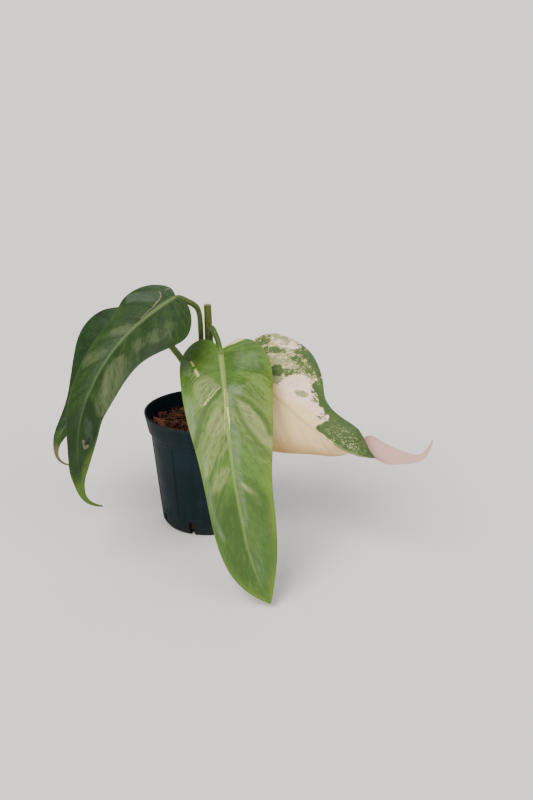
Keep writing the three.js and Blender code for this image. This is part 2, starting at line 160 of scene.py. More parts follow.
def distance_along(points: Array) -> Array:
    """How far along a line of points each one lies: the lengths of the steps before it, added up."""
    return np.concatenate([[0], np.cumsum(np.linalg.norm(np.diff(points, axis=0), axis=1))])


def carried_frames(points: Array, up: Array) -> tuple[Array, Array, Array]:
    """Frames that turn as little as they can along a line of points.

    Args:
        points: The line, one row for each point.
        up: Roughly the direction of the first frame's normal.

    Returns:
        The tangents, the sides (tangent x normal) and the normals.
    """
    tangents = points[np.minimum(np.arange(len(points)) + 1, len(points) - 1)]
    tangents = tangents - points[np.maximum(np.arange(len(points)) - 1, 0)]
    tangents /= np.linalg.norm(tangents, axis=1)[:, None]
    normals = np.zeros_like(points)
    normal = np.asarray(up, float)
    for i, tangent in enumerate(tangents):
        normal = normal - (normal @ tangent) * tangent
        normal = normal / np.linalg.norm(normal)
        normals[i] = normal
    return tangents, np.cross(tangents, normals), normals


def tube_rings(path: Array, radius: Array, side: Array, third: Array) -> Array:
    """Rings round a line: centre + radius (cos a side + sin a third).

    Args:
        path: Centres, one row for each ring.
        radius: Radius of each point, rings by angles.
        side: The direction of angle 0 at each ring.
        third: The direction of a quarter turn at each ring.

    Returns:
        Points, rings by angles.
    """
    turn = round_steps(radius.shape[1])
    across, along = radius * np.cos(turn), radius * np.sin(turn)
    return path[:, None] + across[..., None] * side[:, None] + along[..., None] * third[:, None]


def linked(name: str, data: bpy.types.ID) -> Piece:
    """Puts a new object in the scene, at the origin and unturned.

    Args:
        name: The object's name.
        data: Its mesh, camera or light.

    Returns:
        The object.
    """
    thing = bpy.data.objects.new(name, data)
    bpy.context.collection.objects.link(thing)
    return thing


@dataclass
class Skin:
    """A mesh in the making: points in millimetres, faces, and values carried by the points."""

    points: Array
    faces: list[Array]
    values: dict[str, Array] = field(default_factory=dict)
    maps: dict[str, Array] = field(default_factory=dict)

    def piece(
        self, name: str, node: str, slot: str, material: Material, weld: bool = False, crease: float = 40,
    ) -> Piece:
        """Makes the piece that takes a solid's place, without the points that no face uses.

        Args:
            name: The piece's name.
            node: The solid that it replaces.
            slot: The material slot that it belongs to. Not used.
            material: Its only material.
            weld: Whether points that coincide become one, which closes the poles.
            crease: Edges sharper than this many degrees stay sharp in the shading.

        Returns:
            The object, at the origin.
        """
        used = np.unique(np.concatenate([part.ravel() for part in self.faces]))
        renumber = np.full(len(self.points), -1)
        renumber[used] = np.arange(len(used))
        polygons = [row for part in self.faces for row in renumber[part].tolist()]
        mesh = bpy.data.meshes.new(name)
        mesh.from_pydata((self.points[used] * METRES_PER_MM).tolist(), [], polygons)
        for key, value in self.values.items():
            layer = mesh.attributes.new(key, "FLOAT", "POINT")
            layer.data.foreach_set("value", np.ascontiguousarray(value[used], np.float32))
        corner = np.empty(len(mesh.loops), np.int32)
        mesh.loops.foreach_get("vertex_index", corner)
        for key, value in self.maps.items():
            layer = mesh.uv_layers.new(name=key)
            layer.uv.foreach_set("vector", np.ascontiguousarray(value[used][corner], np.float32).ravel())
        if weld:
            draft = bmesh.new()
            draft.from_mesh(mesh)
            bmesh.ops.remove_doubles(draft, verts=draft.verts, dist=WELD_METRES)
            bmesh.ops.dissolve_degenerate(draft, edges=draft.edges, dist=WELD_METRES)
            draft.to_mesh(mesh)
            draft.free()
        mesh.shade_smooth()
        mesh.set_sharp_from_angle(angle=math.radians(crease))
        mesh.materials.append(material)
        piece = linked(name, mesh)
        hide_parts(node)
        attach(piece, BODY)
        return piece

    def joined(self, other: "Skin") -> "Skin":
        """Both skins as one.

        Args:
            other: The other skin, with the same values and maps.

        Returns:
            The whole.
        """
        shift = len(self.points)
        return Skin(
            np.concatenate([self.points, other.points]),
            self.faces + [part + shift for part in other.faces],
            {key: np.concatenate([value, other.values[key]]) for key, value in self.values.items()},
            {key: np.concatenate([value, other.maps[key]]) for key, value in self.maps.items()},
        )


def two_faced(
    front: Array, back: Array, keep: Array | None = None, wrap: bool = False, pole: bool = False,
) -> Skin:
    """A closed sheet between two grids of points, with walls wherever the kept cells end.

    Args:
        front: Points of the front, rows by columns.
        back: Points of the back, matched one to one.
        keep: Which cells there are, rows - 1 by cells. Without it, all of them.
        wrap: Whether the last column joins the first.
        pole: Whether the first row is one point, so that no wall stands there.

    Returns:
        The skin, with the points of the front before those of the back.
    """
    rows, columns = front.shape[:2]
    index = np.arange(rows * columns).reshape(rows, columns)
    following = np.roll(index, -1, axis=1)
    cells = columns if wrap else columns - 1
    if keep is None:
        keep = np.ones((rows - 1, cells), bool)
    a, b = index[:-1, :cells], following[:-1, :cells]
    d, c = index[1:, :cells], following[1:, :cells]
    total = rows * columns
    faces = [np.stack([a, b, c, d], -1)[keep], np.stack([a, d, c, b], -1)[keep] + total]
    if wrap:
        before, after = np.roll(keep, 1, axis=1), np.roll(keep, -1, axis=1)
    else:
        none = np.zeros((rows - 1, 1), bool)
        before, after = np.hstack([none, keep[:, :-1]]), np.hstack([keep[:, 1:], none])
    start, end = np.full((1, cells), pole), np.zeros((1, cells), bool)
    below, above = np.vstack([start, keep[:-1]]), np.vstack([keep[1:], end])
    for first, second, there in ((a, b, below), (b, c, after), (c, d, above), (d, a, before)):
        wall = np.stack([second, first, first + total, second + total], -1)
        faces.append(wall[keep & ~there])
    points = np.concatenate([front.reshape(-1, 3), back.reshape(-1, 3)])
    return Skin(points, [part for part in faces if len(part)])


def capped_tube(rings: Array) -> Skin:
    """A closed tube over rings, with a fan to the middle of each end ring.

    Args:
        rings: Points, rings by angles. The rings run against the clock as seen from the last end.

    Returns:
        The skin, with the two middle points last.
    """
    count, sides = rings.shape[:2]
    index = np.arange(count * sides).reshape(count, sides)
    following = np.roll(index, -1, axis=1)
    walls = np.stack([index[:-1], following[:-1], following[1:], index[1:]], -1).reshape(-1, 4)
    first, last = count * sides, count * sides + 1
    start = np.stack([np.full(sides, first), following[0], index[0]], -1)
    end = np.stack([np.full(sides, last), index[-1], following[-1]], -1)
    points = np.concatenate([rings.reshape(-1, 3), rings[:1].mean(1), rings[-1:].mean(1)])
    return Skin(points, [walls, start, end])


def streaked_tube(rings: Array, along: Array, **values: Array) -> Skin:
    """A closed tube with a map that runs along it, and values that are the same all round a ring.

    Args:
        rings: Points, rings by angles.
        along: How far along the tube each ring lies, in mm.
        values: The values by name, one number for each ring.

    Returns:
        The skin. Its map holds centimetres along the tube, and the share of a turn round it.
    """
    sides = rings.shape[1]
    last = len(rings) * sides - 1
    source = np.append(np.arange(last + 1), (0, last))
    turn = np.arange(sides) / sides
    flat = np.stack(np.broadcast_arrays(along[:, None] / MM_PER_CM, turn[None]), -1).reshape(-1, 2)
    skin = capped_tube(rings)
    skin.maps = {"along": flat[source]}
    skin.values = {key: np.repeat(value, sides)[source] for key, value in values.items()}
    return skin


# Materials


class Sheet:
    """A material's node tree, with one short call for each kind of node."""

    def __init__(self, name: str) -> None:
        """Starts a material with a Principled shader and nothing else.

        Args:
            name: The material's name.
        """
        self.material = bpy.data.materials.new(name)
        self.material.use_nodes = True
        self.tree = self.material.node_tree
        self.tree.nodes.clear()
        self.output = self.tree.nodes.new("ShaderNodeOutputMaterial")
        self.shader = self.tree.nodes.new("ShaderNodeBsdfPrincipled")
        self.tree.links.new(self.shader.outputs[0], self.output.inputs[0])

    def put(self, socket: Socket, value: Value) -> None:
        """Links a socket to another, or sets its value.

        Args:
            socket: The input to fill.
            value: Another socket, a number, a vector or a colour.
        """
        if isinstance(value, bpy.types.NodeSocket):
            self.tree.links.new(value, socket)
        elif isinstance(value, tuple) and len(value) == 3 and socket.type == "RGBA":
            socket.default_value = (*value, 1)
        else:
            socket.default_value = value

    def node(
        self, kind: str, inputs: dict[str | int, Value], output: str | int = 0, **options: str,
    ) -> Socket:
        """Adds a node.

        Args:
            kind: Its type, without the ShaderNode in front.
            inputs: Its inputs by name or number.
            output: Which of its outputs is wanted.
            options: Its other settings.

        Returns:
            The output.
        """
        node = self.tree.nodes.new("ShaderNode" + kind)
        for key, value in options.items():
            setattr(node, key, value)
        for key, value in inputs.items():
            self.put(node.inputs[key], value)
        return node.outputs[output]

    def uv(self, name: str) -> Socket:
        """The piece's own UV map of that name."""
        return self.node("UVMap", {}, uv_map=name)

    def place(self) -> Socket:
        """The point in the object's own coordinates, in metres."""
        return self.node("TexCoord", {}, "Object")

    def value(self, name: str) -> Socket:
        """A value that the mesh carries at its points."""
        return self.node("Attribute", {}, "Fac", attribute_name=name)

    def stretch(self, vector: Socket, scale: Point, shift: float = 0) -> Socket:
        """The vector scaled on each axis and shifted along all three."""
        return self.node("Mapping", {"Vector": vector, "Scale": scale, "Location": (shift, shift, shift)})

    def noise(self, vector: Socket, scale: float, detail: float = 3, warp: float = 0) -> Socket:
        """Cloudy noise from 0 to 1, mostly from 0.3 to 0.7."""
        inputs = {"Vector": vector, "Scale": scale, "Detail": detail, "Distortion": warp}
        return self.node("TexNoise", inputs)

    def spread(self, vector: Socket, scale: Point, shift: float, detail: float = 3) -> Socket:
        """Noise with its contrast drawn out, so that it covers 0 to 1 about evenly."""
        return self.step(self.noise(self.stretch(vector, scale, shift), 1, detail), 0.34, 0.66)

    def cells(self, vector: Socket) -> Socket:
        """Distance to the nearest of many scattered points, 0 at the point itself."""
        return self.node("TexVoronoi", {"Vector": vector, "Scale": 1}, "Distance")

    def math(self, kind: str, first: Value, second: Value = 0.0, third: Value = 0.0) -> Socket:
        """One sum of the Math node, such as ADD or MULTIPLY_ADD."""
        return self.node("Math", {0: first, 1: second, 2: third}, operation=kind)

    def total(self, *terms: tuple[Value, float], base: float = 0.0) -> Value:
        """Adds up values by their weights.

        Args:
            terms: Each value with its weight.
            base: What they are added to.

        Returns:
            The sum.
        """
        result: Value = base
        for value, weight in terms:
            result = self.math("MULTIPLY_ADD", value, weight, result)
        return result

    def step(self, value: Socket, low: float, high: float) -> Socket:
        """A soft step from 0 at low to 1 at high."""
        inputs = {"Value": value, "From Min": low, "From Max": high}
        return self.node("MapRange", inputs, interpolation_type="SMOOTHSTEP")

    def mix(self, share: Value, first: Value, second: Value) -> Socket:
        """The first colour at share 0, and the second at share 1."""
        return self.node("Mix", {0: share, 6: first, 7: second}, 2, data_type="RGBA")

    def layers(self, ground: Value, *layers: tuple[Value, Value, float]) -> Value:
        """Lays colours over a ground, one after the other.

        Args:
            ground: The lowest colour.
            layers: Where each further colour lies, the colour, and its strength.

        Returns:
            The colour that is seen.
        """
        for share, colour, strength in layers:
            share = share if strength == 1 else self.math("MULTIPLY", share, strength)
            ground = self.mix(share, ground, colour)
        return ground

    def cover(self, name: str, pattern: Socket, reach: float, soft: float) -> Socket:
        """Where a pattern is covered: all of it where the value is 1, the half of it at 0.5.

        Args:
            name: The value that the mesh carries.
            pattern: What breaks up the edge, from 0 to 1.
            reach: How far the pattern shifts the edge.
            soft: How soft the edge is.

        Returns:
            The mask.
        """
        share = self.math("MULTIPLY_ADD", self.math("SUBTRACT", pattern, 0.5), reach, self.value(name))
        return self.step(share, 0.5 - soft, 0.5 + soft)

    def bump(self, height: Socket, distance: float, strength: float) -> Socket:
        """A normal that follows a height from 0 to 1, with its relief in metres."""
        return self.node("Bump", {"Height": height, "Distance": distance, "Strength": strength})

    def done(self, base: Value, roughness: Value, normal: Socket | None = None, **fixed: float) -> Material:
        """Fills in the shader.

        Args:
            base: Its colour.
            roughness: Its roughness.
            normal: Its normal, if it has relief.
            fixed: Any other sockets, by their names with underscores for spaces.

        Returns:
            The finished material.
        """
        self.put(self.shader.inputs["Base Color"], base)
        self.put(self.shader.inputs["Roughness"], roughness)
        if normal is not None:
            self.put(self.shader.inputs["Normal"], normal)
        for key, value in fixed.items():
            self.shader.inputs[key.replace("_", " ")].default_value = value
        return self.material


@dataclass(frozen=True)
class BladeFinish:
    """Leaf tissue: its greens, its pale sectors, its painted sheen, and how it shines."""

    name: str
    deep: Colour
    bright: Colour
    lime: Colour
    pale: Colour
    vein: Colour
    rib: Colour
    # Grey-green sectors on the cream blade; painted blue-grey sheen, a reflection of the light, on the green
    # blades.
    veil: Colour
    green: Colour
    green_deep: Colour
    cream: Colour
    under: Colour
    under_share: float
    # Dry tissue at a tip; on the green blade a near-black painted shade where a tear's slit lies open.
    sear: Colour = (0.30, 0.26, 0.11)
    vein_share: float = 0.3
    rib_share: float = 0.9
    rib_fade: float = 0.7
    streak: float = 0.4
    # How ragged and how soft the edge of the grey-green sectors and painted sheen is.
    veil_and_sheen_reach: float = 0.3
    veil_and_sheen_soft: float = 0.5
    gloss: float = 0.36

    def material(self) -> Material:
        """The blade's material.

        Colours are laid over each other from the ground tissue up, each by a value that the mesh
        carries, with its edge broken by noise that runs along the side veins.

        Returns:
            The material.
        """
        sheet = Sheet(self.name)
        veins, flat = sheet.uv("veins"), sheet.uv("flat")
        band = sheet.spread(veins, (26, 1.6, 1), 0)
        fibre = sheet.spread(veins, (130, 7, 1), 3)
        hair = sheet.spread(veins, (420, 18, 1), 5, 2)
        cloud = sheet.spread(flat, (5, 5, 5), 9)
        mottle = sheet.spread(veins, (74, 13, 1), 7)
        grit = sheet.spread(veins, (230, 38, 1), 11)
        blotch = sheet.spread(veins, (30, 6, 1), 15)
        spots = sheet.math("SUBTRACT", 1.0, sheet.cells(sheet.stretch(veins, (120, 40, 1))))
        ground = sheet.total((band, 0.4), (cloud, 0.4), (fibre, 0.2))
        grain = sheet.total((band, 0.3), (fibre, 0.35), (hair, 0.15), (mottle, 0.2))
        lines = sheet.total((fibre, 0.45), (band, 0.3), (hair, 0.25))
        ragged = sheet.total((blotch, 0.3), (mottle, 0.35), (grit, 0.35))
        marbling = sheet.total((mottle, 0.6), (cloud, 0.4))
        fine = sheet.total((fibre, 0.5), (grit, 0.5))

        flecks = sheet.cover("fleck", sheet.total((spots, 0.8), (mottle, 0.2)), 1.2, 0.08)
        green = sheet.mix(flecks, sheet.mix(marbling, self.green_deep, self.green), self.cream)
        colour = sheet.layers(
            sheet.mix(ground, self.deep, self.bright),
            (sheet.value("lime"), self.lime, 1),
            (sheet.cover("pale", grain, 0.62, 0.5), self.pale, 1),
            (sheet.cover("deep", grain, 0.4, 0.5), self.vein, 1),
            (sheet.step(lines, 0.5, 0.85), self.bright, self.streak),
            (sheet.step(lines, 0.45, 0.15), self.vein, self.streak),
            # Grey-green sectors, and on the green blades painted blue-grey sheen where the light reflects.
            (sheet.cover("veil", ragged, self.veil_and_sheen_reach, self.veil_and_sheen_soft), self.veil, 1),
            (sheet.value("vein"), self.vein, self.vein_share),
            (sheet.cover("green", ragged, 1.1, 0.07), green, 1),
            (sheet.value("rib"), self.rib, self.rib_share),
            (sheet.cover("cream", fine, 0.3, 0.35), self.cream, 1),
            (sheet.value("under"), self.under, self.under_share),
            # Dry tips, and painted shade in a tear's open slit.
            (sheet.value("sear"), self.sear, 1),
        )
        roughness = sheet.total((cloud, 0.08), (fibre, 0.08), (sheet.value("under"), 0.16), base=self.gloss)
        relief = sheet.bump(sheet.total((fibre, 0.6), (hair, 0.4)), 0.00005, 0.6)
        return sheet.done(colour, roughness, relief, Specular_IOR_Level=0.22)


@dataclass(frozen=True)
class StalkFinish:
    """The skin of the stem and the leaf stalks: green with fine streaks and pale specks."""

    name: str
    deep: Colour
    bright: Colour
    dry: Colour = (0.20, 0.12, 0.05)
    neck: Colour = (0.115, 0.175, 0.035)
    speck: Colour = (0.42, 0.48, 0.22)
    gloss: float = 0.38

    def material(self) -> Material:
        """The material, with its streaks along the map's first axis.

        Returns:
            The material.
        """
        sheet = Sheet(self.name)
        along, dryness = sheet.uv("along"), sheet.value("dry")
        streak = sheet.noise(sheet.stretch(along, (1.2, 9, 1)), 3)
        fine = sheet.noise(sheet.stretch(along, (3, 40, 1), 5), 3, 2)
        specks = sheet.step(sheet.cells(sheet.stretch(along, (24, 26, 1), 2)), 0.16, 0.05)
        green = sheet.step(sheet.total((streak, 0.6), (fine, 0.4)), 0.36, 0.64)
        colour = sheet.layers(
            sheet.mix(green, self.deep, self.bright),
            (specks, self.speck, 0.35),
            (sheet.value("neck"), self.neck, 1),
            (sheet.step(sheet.total((dryness, 1), (streak, 0.5)), 0.55, 0.95), self.dry, 1),
        )
        roughness = sheet.total((fine, 0.14), (dryness, 0.35), base=self.gloss)
        relief = sheet.bump(sheet.total((fine, 0.7), (streak, 0.3)), 0.0001, 0.6)
        return sheet.done(colour, roughness, relief, Specular_IOR_Level=0.3)


@dataclass(frozen=True)
class PotFinish:
    """Moulded plastic with a dull bloom, handling marks and dried soil low down."""

    name: str = "moulded_teal_plastic"
    deep: Colour = (0.0048, 0.0115, 0.0145)
    bright: Colour = (0.0085, 0.0195, 0.0255)
    bloom: Colour = (0.018, 0.030, 0.035)
    soil: Colour = (0.034, 0.026, 0.019)

    def material(self) -> Material:
        """The material, in the object's own coordinates.

        Returns:
            The material.
        """
        sheet = Sheet(self.name)
        place = sheet.place()
        cloud = sheet.noise(place, 28, 4)
        grit = sheet.noise(place, 900)
        runs = sheet.noise(sheet.stretch(place, (140, 140, 9), 4), 1)
        scuff = sheet.noise(sheet.stretch(place, (60, 60, 420), 9), 1, 4, 1.2)
        tone = sheet.step(sheet.total((cloud, 0.6), (runs, 0.4)), 0.38, 0.62)
        worn = sheet.step(sheet.total((sheet.value("edge"), 0.5), (scuff, 0.9), (grit, 0.3)), 0.72, 1.0)
        dust = sheet.total((sheet.value("low"), 0.75), (cloud, 0.8), (grit, 0.5))
        colour = sheet.layers(
            sheet.mix(tone, self.deep, self.bright),
            (worn, self.bloom, 0.5),
            (sheet.step(dust, 0.95, 1.6), self.soil, 0.35),
        )
        roughness = sheet.total((cloud, 0.16), (scuff, 0.2), (dust, 0.12), base=0.27)
        relief = sheet.bump(sheet.total((grit, 0.6), (scuff, 0.4)), 0.00015, 0.5)
        return sheet.done(colour, roughness, relief, Specular_IOR_Level=0.09)


@dataclass(frozen=True)
class BarkFinish:
    """Bark and coir: reddish brown, each scrap with its own tint, fibrous along its length."""

    name: str
    dark: Colour
    middle: Colour
    light: Colour

    def material(self) -> Material:
        """The material, with its grain along the map's first axis.

        Returns:
            The material.
        """
        sheet = Sheet(self.name)
        grain_map = sheet.uv("grain")
        grain = sheet.noise(sheet.stretch(grain_map, (0.9, 7, 1)), 1.6, 4, 0.5)
        pits = sheet.noise(grain_map, 9)
        tint = sheet.total((sheet.value("tint"), 0.9), (grain, 0.7), (pits, 0.3))
        colour = sheet.layers(
            self.dark,
            (sheet.step(tint, 0.35, 0.95), self.middle, 1),
            (sheet.step(tint, 0.95, 1.5), self.light, 1),
        )
        relief = sheet.bump(sheet.total((grain, 0.7), (pits, 0.3)), 0.0006, 0.9)
        return sheet.done(colour, 0.86, relief, Specular_IOR_Level=0.3)


GREEN_BLADE = BladeFinish(
    name="green_blade",
    deep=(0.010, 0.029, 0.003),
    bright=(0.022, 0.057, 0.006),
    lime=(0.060, 0.110, 0.008),
    pale=(0.098, 0.122, 0.052),
    vein=(0.006, 0.018, 0.003),
    rib=(0.115, 0.172, 0.060),
    # Painted sheen: the blue-grey reflection of the light on the dark leaf.
    veil=(0.080, 0.105, 0.078),
    green=(0.05, 0.11, 0.02),
    green_deep=(0.03, 0.07, 0.015),
    cream=(0.24, 0.19, 0.15),
    under=(0.044, 0.074, 0.021),
    under_share=0.7,
    # Painted shade: near-black for the open slit of the tear, which has no hole.
    sear=(0.012, 0.008, 0.006),
    rib_fade=1.5,
    streak=0.25,
)
BACK_BLADE = replace(
    GREEN_BLADE, name="back_blade", deep=(0.004, 0.020, 0.002), bright=(0.010, 0.038, 0.004),
    sear=(0.12, 0.10, 0.045),
)

YELLOW_GREEN_BLADE = BladeFinish(
    name="yellow_green_blade",
    deep=(0.052, 0.115, 0.014),
    bright=(0.095, 0.190, 0.023),
    lime=(0.125, 0.200, 0.014),
    pale=(0.280, 0.315, 0.115),
    vein=(0.032, 0.074, 0.008),
    rib=(0.210, 0.300, 0.075),
    # Painted sheen: the blue-grey reflection of the light on the front leaf.
    veil=(0.24, 0.31, 0.21),
    green=(0.10, 0.24, 0.04),
    green_deep=(0.06, 0.17, 0.03),
    cream=(0.60, 0.58, 0.23),
    under=(0.085, 0.14, 0.028),
    under_share=0.7,
)

CREAM_BLADE = BladeFinish(
    name="cream_blade",
    deep=(0.82, 0.58, 0.27),
    bright=(0.94, 0.68, 0.36),
    # Ochre of the near half's band by the margin, darkened partly as painted shade where that half faces
    # away from the light.
    lime=(0.34, 0.20, 0.04),
    pale=(0.97, 0.70, 0.57),
    vein=(0.44, 0.36, 0.14),
    rib=(0.42, 0.42, 0.12),
    # The grey-green sectors of the cream leaf.
    veil=(0.27, 0.30, 0.14),
    green=(0.088, 0.132, 0.036),
    green_deep=(0.042, 0.082, 0.024),
    cream=(0.42, 0.43, 0.19),
    under=(0.51, 0.30, 0.29),
    under_share=0.85,
    vein_share=0.18,
    streak=0.06,
    rib_share=0.6,
    veil_and_sheen_reach=1.0,
    veil_and_sheen_soft=0.25,
    gloss=0.44,
)

STALK = StalkFinish("green_stalk", (0.030, 0.060, 0.005), (0.062, 0.104, 0.010))
DARK_STALK = StalkFinish("dark_stalk", (0.040, 0.068, 0.008), (0.078, 0.120, 0.017))
BACK_STALK = StalkFinish("pale_stalk", (0.080, 0.120, 0.016), (0.145, 0.195, 0.040))
STEM_SKIN = StalkFinish("stem_skin", (0.042, 0.066, 0.006), (0.084, 0.116, 0.013), dry=(0.17, 0.155, 0.055))

BARK = BarkFinish("bark", (0.022, 0.009, 0.006), (0.115, 0.036, 0.018), (0.26, 0.105, 0.055))
COIR = BarkFinish("coir", (0.08, 0.03, 0.015), (0.24, 0.11, 0.05), (0.40, 0.22, 0.11))


# Leaves


class Tint(Enum):
    """What a mark on a blade is: the name of the value that the blade's material reads."""

    LIME = "lime"
    PALE = "pale"
    # Grey-green sectors of the cream leaf, and painted sheen on the green leaves.
    VEIL = "veil"
    GREEN = "green"
    CREAM = "cream"
    FLECK = "fleck"
    DEEP = "deep"
    # Dry tissue, and the painted shade of a tear's open slit.
    SEAR = "sear"


class Half(Enum):
    """One half of a blade, by the sign of v and of the distance out."""

    LEFT = -1
    RIGHT = 1


@dataclass(frozen=True)
class Grid:
    """A blade's points: q from sinus to tip, v from margin to margin, and the flat place in mm."""

    q: Array
    v: Array
    along: Array
    out: Array


@dataclass(frozen=True)
class Mark:
    """A soft stroke or patch on the flat blade, in mm along the midrib and mm out from it."""

    course: tuple[tuple[float, float], ...]
    width: float
    fade: float
    strength: float
    filled: bool = False

    def field(self, grid: Grid) -> Array:
        """The mark's strength: full inside it, and gone a fade further out.

        A stroke runs along its course and is as wide as its width. A filled mark is the whole area
        that its course encloses: a point lies in it when a line from the point crosses the outline
        an odd number of times.

        Args:
            grid: The blade's points.

        Returns:
            One value from 0 to the strength for each point.
        """
        here = np.stack([grid.along, grid.out], -1)
        course = np.asarray(self.course, float)
        if not self.filled and len(course) > 3:
            course = spline(course, np.linspace(0, 1, 3 * len(course)))
        following = np.roll(course, -1, axis=0) if self.filled else course[1:]
        near = np.full(grid.out.shape, np.inf)
        inside = np.zeros(grid.out.shape, bool)
        for start, end in zip(course, following):
            run = end - start
            share = np.clip(((here - start) @ run) / (run @ run), 0, 1)
            near = np.minimum(near, np.linalg.norm(here - start - share[..., None] * run, axis=-1))
            spans = (start[1] > grid.out) != (end[1] > grid.out)
            crossing = start[0] + (grid.out - start[1]) * run[0] / (run[1] or 1)
            inside ^= spans & (grid.along < crossing)
        if self.filled:
            near = np.where(inside, 0, near)
        return self.strength * (1 - smooth(near, self.width / 2, self.width / 2 + self.fade))


def stroke(width: float, fade: float, strength: float, *course: tuple[float, float]) -> Mark:
    """A mark along its course."""
    return Mark(course, width, fade, strength)


def patch(fade: float, strength: float, *course: tuple[float, float]) -> Mark:
    """A mark over the area that its course encloses."""
    return Mark(course, 0, fade, strength, filled=True)


@dataclass(frozen=True)
class Zone:
    """A mark that fills one half of a blade from an edge line to the margin."""

    half: Half
    fade: float
    strength: float
    edge: tuple[tuple[float, float], ...]

    def field(self, grid: Grid) -> Array:
        """The zone's strength: it begins where |v| passes the edge line's height at q.

        Args:
            grid: The blade's points.

        Returns:
            One value from 0 to the strength for each point.
        """
        edge = np.interp(grid.q, *np.transpose(self.edge))
        share = grid.v * self.half.value
        return self.strength * np.where(share > 0, smooth(share - edge, -self.fade, self.fade), 0)


Marks = dict[Tint, tuple[Mark | Zone, ...]]


@dataclass(frozen=True)
class Bend:
    """A blade's midrib line and outline, in the same values as its solid.

    A spine row is x, y, z, roll, the fold of the left and of the right half, and the curl of each.
    A margin row is the share of the length past the sinus, and the mm out from the midrib.
    """

    lobe: float
    up: Point
    spine: Rows
    left: Rows
    right: Rows


